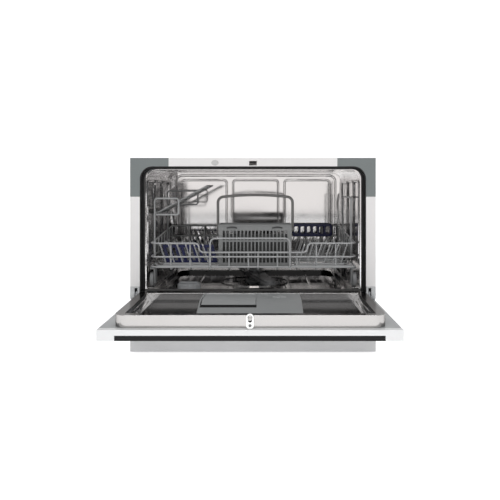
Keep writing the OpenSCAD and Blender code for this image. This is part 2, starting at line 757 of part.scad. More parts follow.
// Small drain pump on the other side of the sump
drain_pump_x = -84;
drain_pump_z = sump_low + 14;
module drain_pump() {
    color("black") cabinet() {
        translate([drain_pump_x, middle_y, drain_pump_z]) rotate([0, -90, 0])
            cylinder(h = 22, r = drain_motor_r);
        translate([drain_pump_x - 22, middle_y, drain_pump_z]) rotate([0, -90, 0]) cylinder(h = 34, r = 18);
        difference() {
            block([drain_pump_x - 18, middle_y - 12, base_low + base_wall],
                [drain_pump_x - 6, middle_y + 12, drain_pump_z]);
            translate([drain_pump_x + 1, middle_y, drain_pump_z]) rotate([0, -90, 0])
                cylinder(h = 30, r = drain_motor_r);
        }
    }
}

// A round spigot behind the base tray's back wall, with a collar and a neck through the wall
module spigot(x, r, inside) {
    translate([x, body_d - 0.5, port_z]) rotate([90, 0, 0])
        cylinder(h = body_d - 0.5 - collar_y - collar_t, r = r);
    translate([x, collar_y + collar_t, port_z]) rotate([90, 0, 0]) cylinder(h = collar_t, r = r + 3);
    translate([x, collar_y, port_z]) rotate([90, 0, 0])
        cylinder(h = base_wall + seat_gap + inside, r = r - neck_r);
}

// Inlet valve with its threaded spigot through the back wall
module inlet_valve() {
    body_y = base_back - base_wall - 1.5;
    color("white") cabinet() difference() {
        union() {
            spigot(inlet_x, inlet_r, 2);
            block([inlet_x - 16, body_y - 32, port_z - 16], [inlet_x + 16, body_y, port_z + 16]);
            translate([inlet_x, body_y - 14, port_z + 16]) cylinder(h = 26, r = 12);
            block([inlet_x - 10, body_y - 28, base_low + base_wall],
                [inlet_x + 10, body_y - 6, port_z - 16]);
        }
        translate([inlet_x, body_d + 1, port_z]) rotate([90, 0, 0]) cylinder(h = 30, r = inlet_r - 4);
    }
}

// Drain spigot through the back wall
module drain_outlet() {
    flange_y = base_back - base_wall - seat_gap;
    color("gray") cabinet() difference() {
        union() {
            spigot(drain_x, drain_r, 12);
            translate([drain_x, flange_y, port_z]) rotate([90, 0, 0]) cylinder(h = 3, r = drain_r + 6);
            translate([drain_x, flange_y - 7, base_low + base_wall])
                cylinder(h = port_z - base_low - base_wall - drain_r + 4, r = 4);
        }
        translate([drain_x, body_d + 1, port_z]) rotate([90, 0, 0]) cylinder(h = 60, r = drain_r - 3.5);
    }
}

// Clamping bush that the mains lead would enter
module power_gland() {
    color("black") cabinet() difference() {
        union() {
            translate([gland_x, base_back + 7, port_z]) rotate([90, 0, 0])
                cylinder(h = 7, r = gland_r + 4, $fn = 6);
            translate([gland_x, base_back, port_z]) rotate([90, 0, 0])
                cylinder(h = base_wall + 6, r = gland_r);
            translate([gland_x, base_back - base_wall, port_z]) rotate([90, 0, 0])
                cylinder(h = 3, r = gland_r + 4, $fn = 6);
        }
        translate([gland_x, base_back + 8, port_z]) rotate([90, 0, 0]) cylinder(h = 40, r = 4);
    }
}

// Flat water inlet chamber between the tub and the left side panel
module air_break() {
    x1 = -(tub_half + tub_t + 3);
    x0 = -(half_w - sheet_t - 3);
    color("ghostwhite") cabinet() {
        difference() {
            along_x(x0, x1) polygon(round_box([150, 170], [330, 380], 12));
            for (i = [0:3]) along_x(x0 - 1, x0 + 6)
                polygon(round_box([160 + i * 42, 186], [160 + i * 42 + 32, 364], 6));
        }
        translate([x1, 240, 300]) rotate([0, 90, 0]) cylinder(h = 3, r = 16);
    }
}

// ---------------------------------------------------------------- door, drawn lying open

door_half = half_w;
liner_half = open_half - 4.6;
liner_far = -(cover_z - axis_z - 1);
liner_near = -(open_top - axis_z - 3.5);
basin_far = -47;
basin_near = liner_near + 18;
basin_z = 5.5 - door_face;
liner_t = 0.8;
panel_near = -door_reach;
panel_far = panel_near + panel_h;

// White outer shell of the door: face, edges and a window for the fascia
module door_panel() {
    low = -(door_face + door_t);
    color("white") door() difference() {
        block([-door_half, -door_reach, low], [door_half, door_tail, -door_face]);
        block([sheet_t - door_half, sheet_t - door_reach, low + sheet_t],
            [door_half - sheet_t, door_tail - sheet_t, -door_face + 1]);
        block([-panel_w / 2, panel_near - 1, low - 1], [panel_w / 2, panel_far, low + panel_t]);
    }
}

// Grey inner frame that closes the door round the liner
frame_plate = 2;
module door_frame() {
    color("gray") door() difference() {
        block([sheet_t - door_half, sheet_t - door_reach, -door_face - frame_plate],
            [door_half - sheet_t, door_tail - sheet_t, -door_face]);
        block([-(liner_half - 22), liner_near + 26, -40], [liner_half - 22, liner_far - 30, 0]);
        both_sides() block([arm_x - arm_t / 2 - 1.5, -12, -40], [arm_x + arm_t / 2 + 1.5, 12, 0]);
    }
}

// Deep-drawn stainless liner with a flat rim and a basin
module basin_cut(grow, depth) {
    top_half = liner_half - liner_rim + grow;
    low_half = liner_half - liner_rim - 14 + grow;
    top = liner_h - door_face;
    along_y(basin_near - grow, basin_far + grow)
        polygon([[-low_half, basin_z - depth], [low_half, basin_z - depth], [top_half, top + 1],
            [-top_half, top + 1]]);
}
module liner_body(inset) {
    along_z(-door_face - (inset > 0 ? 1 : 0), liner_h - door_face - inset)
        polygon(round_box([-liner_half + inset, liner_near + inset],
            [liner_half - inset, liner_far - inset], 24 - inset));
}
module door_liner() {
    color("silver") door() difference() {
        liner_body(0);
        basin_cut(0, 0);
        difference() {
            liner_body(liner_t);
            basin_cut(liner_t, liner_t);
        }
        block([well_body[0] - 0.2, well_body[1] - 0.2, basin_z - 5],
            [well_body[2] + 0.2, well_body[3] + 0.2, basin_z + 30]);
    }
}

// Black control fascia on the outer face of the door, with a scooped grip along its upper edge
fascia_low = -(door_face + door_t);
fascia_high = fascia_low + panel_t;
button_y = panel_near + 46;
button_x = [-150, -110, 110, 150];
button_r = 8;
window_x = 40;
module control_panel() {
    color("black") door() difference() {
        block([-panel_w / 2, panel_near, fascia_low], [panel_w / 2, panel_far, fascia_high]);
        for (x = button_x) translate([x, button_y, fascia_low - 1])
            cylinder(h = panel_t + 2, r = button_r + 0.25);
        block([-window_x, button_y - 11, fascia_low - 1], [window_x, button_y + 11, fascia_low + 1.5]);
        block([-window_x + 4, button_y - 7, fascia_low], [window_x - 4, button_y + 7, fascia_high + 1]);
        // finger grip, a round scoop behind a lip
        along_x(-75, 75) intersection() {
            translate([panel_near + 17, fascia_low]) circle(9, $fn = 48);
            translate([panel_near, fascia_low - 10]) square([40, 17]);
        }
    }
}

// Tinted window over the display
module display_window() {
    color("darkslategray") door()
        block([-window_x + 0.1, button_y - 10.9, fascia_low],
            [window_x - 0.1, button_y + 10.9, fascia_low + 1.5]);
}

// Circuit board behind the fascia, with a switch below each button
board_z = fascia_high + button_travel + 2;
board_half = 190;
board_t = 1.6;
module control_board() {
    color("green") door() {
        block([-board_half, button_y - 20, board_z], [board_half, panel_far - 6, board_z + board_t]);
        for (x = [10 - board_half, -70, 70, board_half - 10]) translate([x, button_y, fascia_high])
            cylinder(h = board_z - fascia_high, r = 4);
        block([-window_x + 6, button_y - 6, fascia_high - 4], [window_x - 6, button_y + 6, board_z]);
        for (x = button_x) translate([x, button_y, board_z - 0.7]) cylinder(h = 0.7, r = 3);
    }
}

// Push buttons: a cap in its guide and a flange behind the fascia
module button(x) {
    color("dimgray") door() translate([x, button_y, 0]) {
        translate([0, 0, fascia_low - button_travel])
            cylinder(h = panel_t + button_travel + 1, r = button_r);
        translate([0, 0, fascia_high + 0.1]) cylinder(h = 0.9, r = button_r + 1.5);
    }
}
module power_button() { button(button_x[0]); }
module program_button() { button(button_x[1]); }
module delay_button() { button(button_x[2]); }
module start_button() { button(button_x[3]); }

// Cranked steel hinge arms: a long leg inside the door and a short leg up to the pin
module hinge_arms() {
    color("gainsboro") door() both_sides() along_x(arm_x - arm_t / 2, arm_x + arm_t / 2) difference() {
        union() {
            circle(9);
            translate([-9, -32]) square([18, 32]);
            translate([-92, -32]) square([96, 14]);
        }
        circle(pin_r + run_gap, $fn = 48);
        translate([-80, -25]) circle(2.2);
        translate([-50, -25]) circle(2.2);
    }
}

// Latch hook: a flat oval loop that stands on a foot between the liner and the door's edge
hook_y = -(slot_z0 + 2 - axis_z);
module hook_outline(half, low, high) { polygon(round_box([-half, low], [half, high], half - 0.01)); }
module latch_hook() {
    z0 = -door_face;
    color("white") door() {
        difference() {
            along_y(hook_y - 3, hook_y) hook_outline(7, z0, z0 + 28);
            along_y(hook_y - 4, hook_y + 1) hook_outline(3.6, z0 + 12, z0 + 25);
        }
        block([-5, hook_y, z0], [5, liner_near - seat_gap, z0 + door_gap - seat_gap]);
        translate([0, hook_y - 3, z0 + 6.5]) rotate([90, 0, 0]) cylinder(h = 1.2, r = 3);
    }
}

// Dispenser moulded in grey plastic, let into the liner's basin: a flat top and a slope towards the user
well_body = [-107, -128, 102, -47.4];
ridge_y = -128;
slope_end = -196;
disp_top = liner_h - door_face - 0.4;
function slope_z(y) = disp_top - (ridge_y - y) * (disp_top - basin_z - 1) / (ridge_y - slope_end);
lid_travel = 36;
lid_t = 2;
lid_x = [-102, 8];
lid_y = [-151, -88];
cap_c = [57, -92];
module dispenser() {
    deep = slope_z(lid_y[0]) - lid_t - seat_gap;
    color("gray") door() difference() {
        union() {
            along_x(well_body[0], well_body[2])
                polygon([[slope_end, basin_z], [slope_end, basin_z + 1], [ridge_y, disp_top],
                    [well_body[3], disp_top], [well_body[3], basin_z]]);
            block([well_body[0], well_body[1], basin_z - 8], [well_body[2], well_body[3], basin_z]);
        }
        // track of the sliding lid, deeper where its lip runs
        block([lid_x[0] - 2, lid_y[0] - 4.5, deep], [lid_x[1] + 1, ridge_y + lid_travel + 1, disp_top + 5]);
        block([lid_x[0] - 2, lid_y[0] - 4.5, deep - 3], [lid_x[1] + 1, lid_y[0] - 0.4, disp_top + 5]);
        block([lid_x[0] - 1, ridge_y, disp_top - lid_t - seat_gap],
            [lid_x[1] + 1, lid_y[1] + lid_travel + 0.6, disp_top + 5]);
        // detergent cup
        block([lid_x[0] + 5, ridge_y + 4, basin_z - 6], [lid_x[1] - 5, lid_y[1] - 4, disp_top]);
        block([lid_x[0] + 5, lid_y[0] + 3, basin_z + 1.2], [lid_x[1] - 5, ridge_y + 5, disp_top]);
        // rinse-aid filler
        translate([cap_c.x, cap_c.y, disp_top - 7]) cylinder(h = 20, r = 15);
        translate([cap_c.x, cap_c.y, basin_z - 4]) cylinder(h = 20, r = 9);
        // raised-rib field beside the lid, cut as grooves
        for (i = [0:3]) block([14 + i * 5, -84, disp_top - 1], [16.5 + i * 5, -58, disp_top + 1]);
    }
}

// Sliding lid of the detergent cup; its lip wraps over the ridge
module detergent_lid() {
    color("gray") door() along_x(lid_x[0], lid_x[1])
        polygon([[lid_y[0], slope_z(lid_y[0])], [ridge_y, disp_top], [lid_y[1], disp_top],
            [lid_y[1], disp_top - lid_t],
            [ridge_y + 1, disp_top - lid_t], [lid_y[0], slope_z(lid_y[0]) - lid_t]]);
}

// Rinse-aid cap with a finger bar
module rinse_cap() {
    color("lightgray") door() translate([cap_c.x, cap_c.y, disp_top - 7 + seat_gap]) difference() {
        cylinder(h = 6.4, r = 14.7);
        for (s = [0, 180]) rotate([0, 0, s]) translate([0, 7.5, 2]) cylinder(h = 8, r = 5);
    }
}

// ---------------------------------------------------------------- rack

rack_half = tub_half - rack_side_gap - wire_r;
rack_d = tub_d - rack_rear_gap - rack_y;
rack_back = rack_y + rack_d;

wire_d = 2 * wire_r + weld_gap;
corner_r = 18;
ring_z = rack_z + 6.2;
mid_z = rack_z + 29.5;
front_z = rack_z + 60.5;
dip_z = rack_z + 39.5;
rear_z = rack_z + 78.5;
rear_mid_z = rack_z + 49.5;
dip_half = 124;

// The rounded corners that join a wire across one end of the rack to the side wires
corner_run = corner_r + 8;
end_half = rack_half - corner_r - weld_gap;
wire_pitch = (end_half - 28) / (wire_count - 0.75);
long_x = [for (k = [0:wire_count - 1]) (k + 0.25) * wire_pitch];
end_run = 9;
module corner_wires(y, s, z) {
    both_sides() bent_wire([[rack_half - corner_r, y, z], [rack_half, y, z],
        [rack_half, y + s * corner_run, z]],
        [corner_r], wire_r);
}

// A horizontal wire across one end of the rack
module end_wire(y, s, z) {
    rod([-end_half, y, z], [end_half, y, z], wire_r);
    corner_wires(y, s, z);
}

// Uprights of one end, bent at the bottom into the long floor wires
module end_uprights(y, s, tall, short) {
    for (x = long_x, side = [-1, 1])
        bent_wire([[side * x, y, x < dip_half - 12 ? short : tall], [side * x, y, rack_z],
            [side * x, y + s * end_run, rack_z]], [8], wire_r);
}

// Front wall: a rim that dips at the cutlery basket, two ring wires and a hoop
hoop_x = [-98, 84];
hoop_r = 12;
module hoop_leg(x, s) {
    y = rack_y - wire_d;
    bent_wire([[x, y, rack_z + 2], [x, y, rack_z + 72], [x + s * hoop_r, y, rack_z + 72]], [hoop_r], wire_r);
}
module rack_front() {
    step = (front_z - dip_z) / 2;
    y = rack_y;
    color("lightgray") cabinet() {
        both_sides() {
            rod([dip_half + step + weld_gap, y, front_z], [end_half, y, front_z], wire_r);
            bent_wire([[dip_half + step, y, front_z], [dip_half, y, front_z], [dip_half, y, dip_z],
                [dip_half - step, y, dip_z]], [step, step], wire_r);
        }
        rod([weld_gap + step - dip_half, y, dip_z], [dip_half - step - weld_gap, y, dip_z], wire_r);
        corner_wires(y, 1, front_z);
        end_wire(y, 1, mid_z);
        end_wire(y, 1, ring_z);
        end_uprights(y + wire_d, 1, front_z, dip_z);
        hoop_leg(hoop_x[0], 1);
        hoop_leg(hoop_x[1], -1);
        rod([hoop_x[0] + hoop_r + weld_gap, y - wire_d, rack_z + 72],
            [hoop_x[1] - hoop_r - weld_gap, y - wire_d, rack_z + 72], wire_r);
    }
}

// Rear wall
module rack_rear() {
    color("lightgray") cabinet() {
        end_wire(rack_back, -1, rear_z);
        end_wire(rack_back, -1, rear_mid_z);
        end_wire(rack_back, -1, ring_z);
        end_uprights(rack_back - wire_d, -1, rear_z, rear_z);
    }
}

// Side walls: rim, ring wires and uprights that go on as cross wires under the dishes
cross_half = rack_half - wire_d - end_run;
cross_y = [for (k = [0:6]) rack_y + 42 + k * (rack_d - 84) / 6];
function rim_z(y) = front_z + (rear_z - front_z) * (y - rack_y) / rack_d;
module rack_sides() {
    y0 = rack_y + corner_run;
    y1 = rack_back - corner_run;
    color("lightgray") cabinet() both_sides() {
        rod([rack_half, y0, front_z], [rack_half, y1, rear_z], wire_r);
        rod([rack_half, y0, ring_z], [rack_half, y1, ring_z], wire_r);
        rod([rack_half, y0, mid_z], [rack_half, y1, mid_z], wire_r);
        for (y = cross_y)
            bent_wire([[rack_half - wire_d, y, rim_z(y)], [rack_half - wire_d, y, rack_z + wire_d],
                [cross_half, y, rack_z + wire_d]], [8], wire_r);
    }
}

// Floor: long wires with cross wires on top of them
module rack_floor() {
    color("lightgray") cabinet() {
        for (x = long_x, s = [-1, 1])
            rod([s * x, rack_y + wire_d + end_run, rack_z], [s * x, rack_back - wire_d - end_run, rack_z],
                wire_r);
        for (y = cross_y) rod([-cross_half, y, rack_z + wire_d], [cross_half, y, rack_z + wire_d], wire_r);
    }
}

// Rows of leaning tines that hold the plates
tine_lean = 17;
tine_l = 48;
tine_pitch = 20;
tine_r = wire_r - 0.4;
tine_x = 100;
tine_count = floor((rack_half - tine_x - 14) / tine_pitch);
module tine_row(x0, count, y, s) {
    z = rack_z + 2 * wire_d;
    rod([x0, y, z], [x0 + s * tine_pitch * (count - 0.4), y, z], wire_r);
    for (i = [0:count - 1]) let (x = x0 + s * tine_pitch * (i + 0.3))
        rod([x, y, z + wire_r + 0.6], [x + s * tine_l * sin(tine_lean), y, z + tine_l * cos(tine_lean)],
            tine_r);
}
module rack_tines() {
    color("lightgray") cabinet() for (k = [0, 2, 3, 5]) {
        tine_row(tine_x, tine_count, cross_y[k], 1);
        tine_row(-tine_x, tine_count, cross_y[k], -1);
    }
}

// Navy strip with rounded windows, clipped to the rear wall
module rear_insert() {
    y = rack_back - wire_d - wire_r - seat_gap - 4;
    x = rack_half - 130;
    color("midnightblue") cabinet() difference() {
        along_y(y, y + 4) polygon(round_box([x, rear_mid_z], [x + 111, rear_z + 6], 5));
        for (i = [0:5]) along_y(y - 1, y + 5)
            polygon(round_box([x + 5 + i * 17.6, rear_mid_z + 7], [x + 18 + i * 17.6, rear_z - 1], 5));
    }
}

// Navy comb for small items, standing in the left front of the rack
module cup_insert() {
    y = cross_y[1] + wire_r;
    z = rack_z + wire_d + wire_r;
    color("midnightblue") cabinet() translate([23 - rack_half, 0, z]) difference() {
        along_y(y, y + 5) polygon([[0, 0], [124, 0], [114, 43], [-10, 43]]);
        for (i = [0:7]) along_y(y - 1, y + 6)
            polygon([[8 + i * 14, 5], [15 + i * 14, 5], [6 + i * 14, 36], [i * 14 - 1, 36]]);
    }
}

// Grey carriers under the rack's sides, with the axle pins of the rollers
roller_y = [rack_y + 19, rack_back - 17];
roller_x = rack_half - 2;
roller_t = 8;
axle_r = 3;
module roller_bracket(y) {
    x = roller_x - roller_t / 2;
    top = ring_z - wire_r - weld_gap;
    along_x(x - 4, x - 1)
        polygon([[y - 9, rack_axle_z - 9], [y + 9, rack_axle_z - 9], [y + 14, top], [y - 14, top]]);
    block([x - 4, y - 14, top - 3], [rack_half + wire_r, y + 14, top]);
    translate([x - 1, y, rack_axle_z]) rotate([0, 90, 0]) cylinder(h = roller_t + 1.6, r = axle_r);
    translate([x + roller_t + 0.6, y, rack_axle_z]) rotate([0, 90, 0]) cylinder(h = 1.6, r = axle_r + 2);
}
module roller_brackets() { color("gray") cabinet() for (y = roller_y) both_sides() roller_bracket(y); }

// Rollers, each with a rim, a web and a hub bored for its axle pin
module rollers(y) {
    x = roller_x - roller_t / 2;
    color("gray") cabinet() both_sides() translate([x, y, rack_axle_z]) rotate([0, 90, 0]) difference() {
        cylinder(h = roller_t, r = roller_r);
        translate([0, 0, -1]) cylinder(h = roller_t + 2, r = axle_r + run_gap);
        translate([0, 0, roller_t - 2.5]) difference() {
            cylinder(h = 4, r = roller_r - 3);
            translate([0, 0, -1]) cylinder(h = 6, r = axle_r + 3);
        }
    }
}
module front_rollers() { rollers(roller_y[0]); }
module rear_rollers() { rollers(roller_y[1]); }

// Wire frames above the sides: two posts that carry the cup shelf's hinge rod on the left, each bent
// into a loop that stops the shelf, and a raised frame on the right
basket_x = 4;
handle_pin_r = 2.5;
handle_r = 3.2;
shelf_x = -(rack_half - wire_d);
shelf_z = tub_top - shelf_drop;
post_low = mid_z - 4;
post_y = [cross_y[0] - 10, cross_y[4] + 10];
post_gap = 14;
shelf_y0 = post_y[0] + post_gap;
shelf_d = post_y[1] - post_gap - shelf_y0;
right_y = [cross_y[0] + 12, cross_y[4] - 12];
module shelf_post(y, reach, low, high) {
    bent_wire([[shelf_x, y, post_low], [shelf_x, y, high], [shelf_x + reach, y, high],
        [shelf_x + reach, y, low],
        [shelf_x + wire_d, y, low]], [6, 6, 6], wire_r);
}
module shelf_bracket() {
    z = tub_top - 64.5;
    color("lightgray") cabinet() {
        shelf_post(post_y[0], 56, tub_top - 104, tub_top - 66);
        shelf_post(post_y[1], 80, tub_top - 86, tub_top - 50);
        rod([shelf_x, post_y[0] + wire_r + weld_gap, shelf_z],
            [shelf_x, post_y[1] - wire_r - weld_gap, shelf_z], wire_r);
        bent_wire([[-shelf_x, right_y[0], post_low], [-shelf_x, right_y[0], z],
            [-shelf_x, right_y[1], z], [-shelf_x, right_y[1], post_low]], [6, 6], wire_r);
    }
}

// Slotted cup shelf that folds about the hinge rod
shelf_w = basket_x - shelf_x - basket_w / 2 - 2 * handle_r - 3 * seat_gap - shelf_gap;
module cup_shelf() {
    color("gray") cabinet() translate([shelf_x, shelf_y0, shelf_z]) rotate([0, -shelf_angle, 0]) {
        difference() {
            union() {
                block([5, 0, -2], [shelf_w, shelf_d, 1]);
                for (y = [10, shelf_d / 2 - 9, shelf_d - 28]) translate([0, y, 0]) rotate([-90, 0, 0])
                    cylinder(h = 18, r = wire_r + 2.6);
                for (y = [10, shelf_d / 2 - 9, shelf_d - 28]) block([0, y, -2], [6, y + 18, 1]);
            }
            translate([0, -1, 0]) rotate([-90, 0, 0]) cylinder(h = shelf_d + 2, r = wire_r + run_gap);
            for (i = [0:(shelf_w - 28) / 18], k = [0:2])
                block([16 + i * 18, 8 + k * 54, -5], [26 + i * 18, 54 + k * 54, 5]);
        }
    }
}

// ---------------------------------------------------------------- cutlery basket

// Slotted walls, floor and two end walls of the basket, clipped together at the corners
basket_y = 45;
basket_z = rack_z + wire_d + wire_r + seat_gap;
basket_wall = 2;
slot_w = 5.5;
slot_rows = [8, 34, 60];
slot_h = 22;
divider_t = 1.6;
module basket_frame() { cabinet() translate([basket_x, basket_y, basket_z]) children(); }
module long_wall() {
    w = basket_w / 2;
    difference() {
        block([-w, 0, 0], [w, basket_wall, basket_h]);
        for (k = [0:8], s = [-1, 1], z = slot_rows) let (x = s * (k + 0.5) * w / 10)
            block([x - slot_w / 2, -1, z], [x + slot_w / 2, basket_wall + 1, z + slot_h]);
    }
    // bead along the rim
    block([-w, -0.8, basket_h - 3], [w, 0, basket_h]);
}
module end_wall() {
    w = basket_w / 2;
    difference() {
        block([w - basket_wall, basket_wall + weld_gap, 0],
            [w, basket_d - basket_wall - weld_gap, basket_h]);
        for (y = [10, 22, basket_d - 27, basket_d - 15], z = [slot_rows[0], slot_rows[1]])
            block([w - basket_wall - 1, y - slot_w / 2, z], [w + 1, y + slot_w / 2, z + slot_h]);
        translate([w - basket_wall - 1, basket_d / 2, basket_h - 14]) rotate([0, 90, 0])
            cylinder(h = basket_wall + 2, r = handle_pin_r + run_gap);
    }
}
module cutlery_basket() {
    w = basket_w / 2;
    color("gray") basket_frame() {
        long_wall();
        translate([0, basket_d, 0]) mirror([0, 1, 0]) long_wall();
        both_sides() end_wall();
        block([basket_wall + weld_gap - w, basket_wall + weld_gap, 0],
            [w - basket_wall - weld_gap, basket_d - basket_wall - weld_gap, basket_wall]);
    }
}

// Dividers dropped into the basket: one along it and short ones across, which make eight cells
module basket_dividers() {
    low = basket_wall + weld_gap;
    end = basket_w / 2 - basket_wall - seat_gap;
    side = basket_d / 2 - basket_wall - seat_gap;
    t = divider_t / 2;
    color("gray") basket_frame() translate([0, basket_d / 2, 0]) {
        block([-end, -t, low], [end, t, basket_h - 24]);
        for (x = [-basket_w / 4, 0, basket_w / 4], s = [0, 180]) rotate([0, 0, s])
            block([x - t, t + weld_gap, low], [x + t, side, basket_h - 8]);
    }
}

// Bail handle of the basket, swung on two side pins
module cutlery_handle() {
    w = basket_w / 2 + handle_r + 2 * seat_gap;
    y = basket_y + basket_d / 2;
    z = basket_z + basket_h - 14;
    color("gray") cabinet() translate([basket_x, 0, 0]) {
        bent_wire([[-w, y, z], [-w, y, z + handle_rise + 14], [w, y, z + handle_rise + 14], [w, y, z]],
            [14, 14], handle_r);
        both_sides() translate([w + handle_r + seat_gap, y, z]) rotate([0, -90, 0]) {
            cylinder(h = 2 * (handle_r + seat_gap), r = handle_r + 1.6);
            cylinder(h = 2 * (handle_r + seat_gap) + 4, r = handle_pin_r);
        }
    }
}

base_tray();
plinth();
feet();
side_panel_left();
side_panel_right();
top_cover();
back_panel();
front_frame();
corner_trims();
hinge_covers();
tub();
tub_floor();
door_seal();
sill_seal();
hinge_brackets();
hinge_springs();
latch_housing();
sump();
filter_plate();
spray_hub();
circulation_pump();
drain_pump();
softener();
inlet_valve();
drain_outlet();
power_gland();
air_break();
spray_arm();
coarse_filter();
salt_cap();
door_panel();
door_frame();
door_liner();
control_panel();
display_window();
control_board();
hinge_arms();
latch_hook();
dispenser();
detergent_lid();
rinse_cap();
power_button();
program_button();
delay_button();
start_button();
rack_front();
rack_rear();
rack_sides();
rack_floor();
rack_tines();
rear_insert();
cup_insert();
roller_brackets();
front_rollers();
rear_rollers();
shelf_bracket();
cup_shelf();
cutlery_basket();
basket_dividers();
cutlery_handle();
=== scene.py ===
"""Looks of a countertop dishwasher with its door folded down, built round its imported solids.

Metres. X runs to the right, Y to the back and Z up from the worktop. The sections follow the
machine as it is put together: cabinet, tub, floor of the tub, door, rack, basket and shelf.
"""

import math

import bpy
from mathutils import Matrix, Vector


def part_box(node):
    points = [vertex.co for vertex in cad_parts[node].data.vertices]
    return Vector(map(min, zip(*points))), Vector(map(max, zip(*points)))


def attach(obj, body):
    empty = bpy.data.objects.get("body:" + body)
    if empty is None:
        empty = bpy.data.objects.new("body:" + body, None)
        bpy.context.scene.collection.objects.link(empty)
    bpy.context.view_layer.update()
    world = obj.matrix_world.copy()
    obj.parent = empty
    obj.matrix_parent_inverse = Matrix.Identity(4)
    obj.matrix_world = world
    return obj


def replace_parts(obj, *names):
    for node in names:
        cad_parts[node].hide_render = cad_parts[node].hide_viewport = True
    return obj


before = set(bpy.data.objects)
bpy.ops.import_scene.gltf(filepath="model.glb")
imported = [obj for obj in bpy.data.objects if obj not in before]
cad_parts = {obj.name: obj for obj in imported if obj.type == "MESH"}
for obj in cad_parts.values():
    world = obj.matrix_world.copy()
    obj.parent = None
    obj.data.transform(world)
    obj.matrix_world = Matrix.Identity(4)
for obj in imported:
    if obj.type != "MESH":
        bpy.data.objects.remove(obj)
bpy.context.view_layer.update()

# ------------------------------------------------------------------ camera
# A level camera in front of the machine and a little to the right of its middle. The lens is
# shifted down and left, so that uprights stay upright as they do in the photograph.
front_plane_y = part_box("front_frame")[0].y
eye_x = 0.0269
eye_z = 0.375
eye_distance = 1.418
camera_data = bpy.data.cameras.new("camera")
camera_data.sensor_width = 36.0
camera_data.lens = 45.6
camera_data.shift_x = -0.0299
camera_data.shift_y = -0.128
camera_data.clip_end = 20.0
camera = bpy.data.objects.new("camera", camera_data)
camera.location = (eye_x, front_plane_y - eye_distance, eye_z)
camera.rotation_euler = (math.radians(90.0), 0.0, 0.0)
bpy.context.scene.collection.objects.link(camera)
bpy.context.scene.camera = camera
bpy.context.scene.view_settings.view_transform = "Standard"

# ------------------------------------------------------------------ floor and studio light
# A white paper sweep, lit evenly through from behind. The light is a wide soft box overhead, a
# soft fill that no metal mirrors, and a bright card behind the camera, which the tub mirrors.


def new_material(name, colour, roughness, metallic=0.0):
    """A material with one Principled shader; returns it, its node tree and the shader."""
    material = bpy.data.materials.new(name)
    material.use_nodes = True
    tree = material.node_tree
    shader = tree.nodes["Principled BSDF"]
    shader.inputs["Base Color"].default_value = (*colour, 1.0)
    shader.inputs["Roughness"].default_value = roughness
    shader.inputs["Metallic"].default_value = metallic
    return material, tree, shader


def add_node(tree, kind, **values):
    """A node of a kind, with values for its inputs by name, or for its own settings."""
    node = tree.nodes.new(kind)
    for key, value in values.items():
        name = key.replace("_", " ")
        if name in node.inputs:
            node.inputs[name].default_value = value
        else:
            setattr(node, key, value)
    return node


def ramp(tree, source, low, high, to_low=0.0, to_high=1.0):
    """Maps a socket's values from low to high on to another range; returns the result's socket."""
    node = add_node(tree, "ShaderNodeMapRange")
    ends = {"From Min": low, "From Max": high, "To Min": to_low, "To Max": to_high}
    for label, value in ends.items():
        node.inputs[label].default_value = value
    tree.links.new(source, node.inputs["Value"])
    return node.outputs["Result"]


floor_size = 9.0
sweep_height = 4.0
sweep_y = 3.4
sweep_radius = 1.2
bpy.ops.object.select_all(action="DESELECT")
bpy.ops.mesh.primitive_plane_add(size=floor_size, location=(0.0, sweep_y - floor_size / 2, 0.0))
floor = bpy.context.object
floor.name = "paper_sweep"
bpy.ops.object.mode_set(mode="EDIT")
bpy.ops.mesh.select_all(action="DESELECT")
bpy.ops.mesh.select_mode(type="EDGE")
bpy.ops.object.mode_set(mode="OBJECT")
for edge in floor.data.edges:
    edge.select = all(floor.data.vertices[v].co.y > 0 for v in edge.vertices)
bpy.ops.object.mode_set(mode="EDIT")
bpy.ops.mesh.extrude_region_move(TRANSFORM_OT_translate={"value": (0.0, 0.0, sweep_height)})
bpy.ops.object.mode_set(mode="OBJECT")
bevel = floor.modifiers.new("curve", "BEVEL")
bevel.width = sweep_radius
bevel.segments = 16
bpy.ops.object.modifier_apply(modifier=bevel.name)
bpy.ops.object.shade_smooth()
paper, tree, shader = new_material("white_paper", (0.93, 0.93, 0.93), 0.75)
shader.inputs["Emission Color"].default_value = (1.0, 1.0, 1.0, 1.0)
shader.inputs["Emission Strength"].default_value = 0.68
fibres = add_node(tree, "ShaderNodeTexNoise", Scale=220.0, Detail=2.0)
relief = add_node(tree, "ShaderNodeBump", Strength=0.04, Distance=0.001)
coords = add_node(tree, "ShaderNodeTexCoord")
tree.links.new(coords.outputs["Object"], fibres.inputs["Vector"])
tree.links.new(fibres.outputs["Fac"], relief.inputs["Height"])
tree.links.new(relief.outputs["Normal"], shader.inputs["Normal"])
floor.data.materials.append(paper)

world = bpy.data.worlds.new("studio")
world.use_nodes = True
backdrop = world.node_tree.nodes["Background"]
backdrop.inputs["Color"].default_value = (0.95, 0.97, 1.0, 1.0)
sight = add_node(world.node_tree, "ShaderNodeLightPath")
room_glow = 0.14
strength = ramp(world.node_tree, sight.outputs["Is Camera Ray"], 0.0, 1.0, room_glow, 1.0)
world.node_tree.links.new(strength, backdrop.inputs["Strength"])
bpy.context.scene.world = world


def soft_light(name, place, target, size, glow, colour=(1.0, 1.0, 1.0)):
    """A rectangular soft box at a place, turned towards a target; glow is its brightness."""
    lamp = bpy.data.lights.new(name, "AREA")
    lamp.shape = "RECTANGLE"
    lamp.size = size[0]
    lamp.size_y = size[1]
    lamp.energy = glow * math.pi * size[0] * size[1]
    lamp.color = colour
    holder = bpy.data.objects.new(name, lamp)
    holder.location = place
    holder.rotation_euler = (Vector(target) - Vector(place)).to_track_quat("-Z", "Y").to_euler()
    bpy.context.scene.collection.objects.link(holder)
    return holder


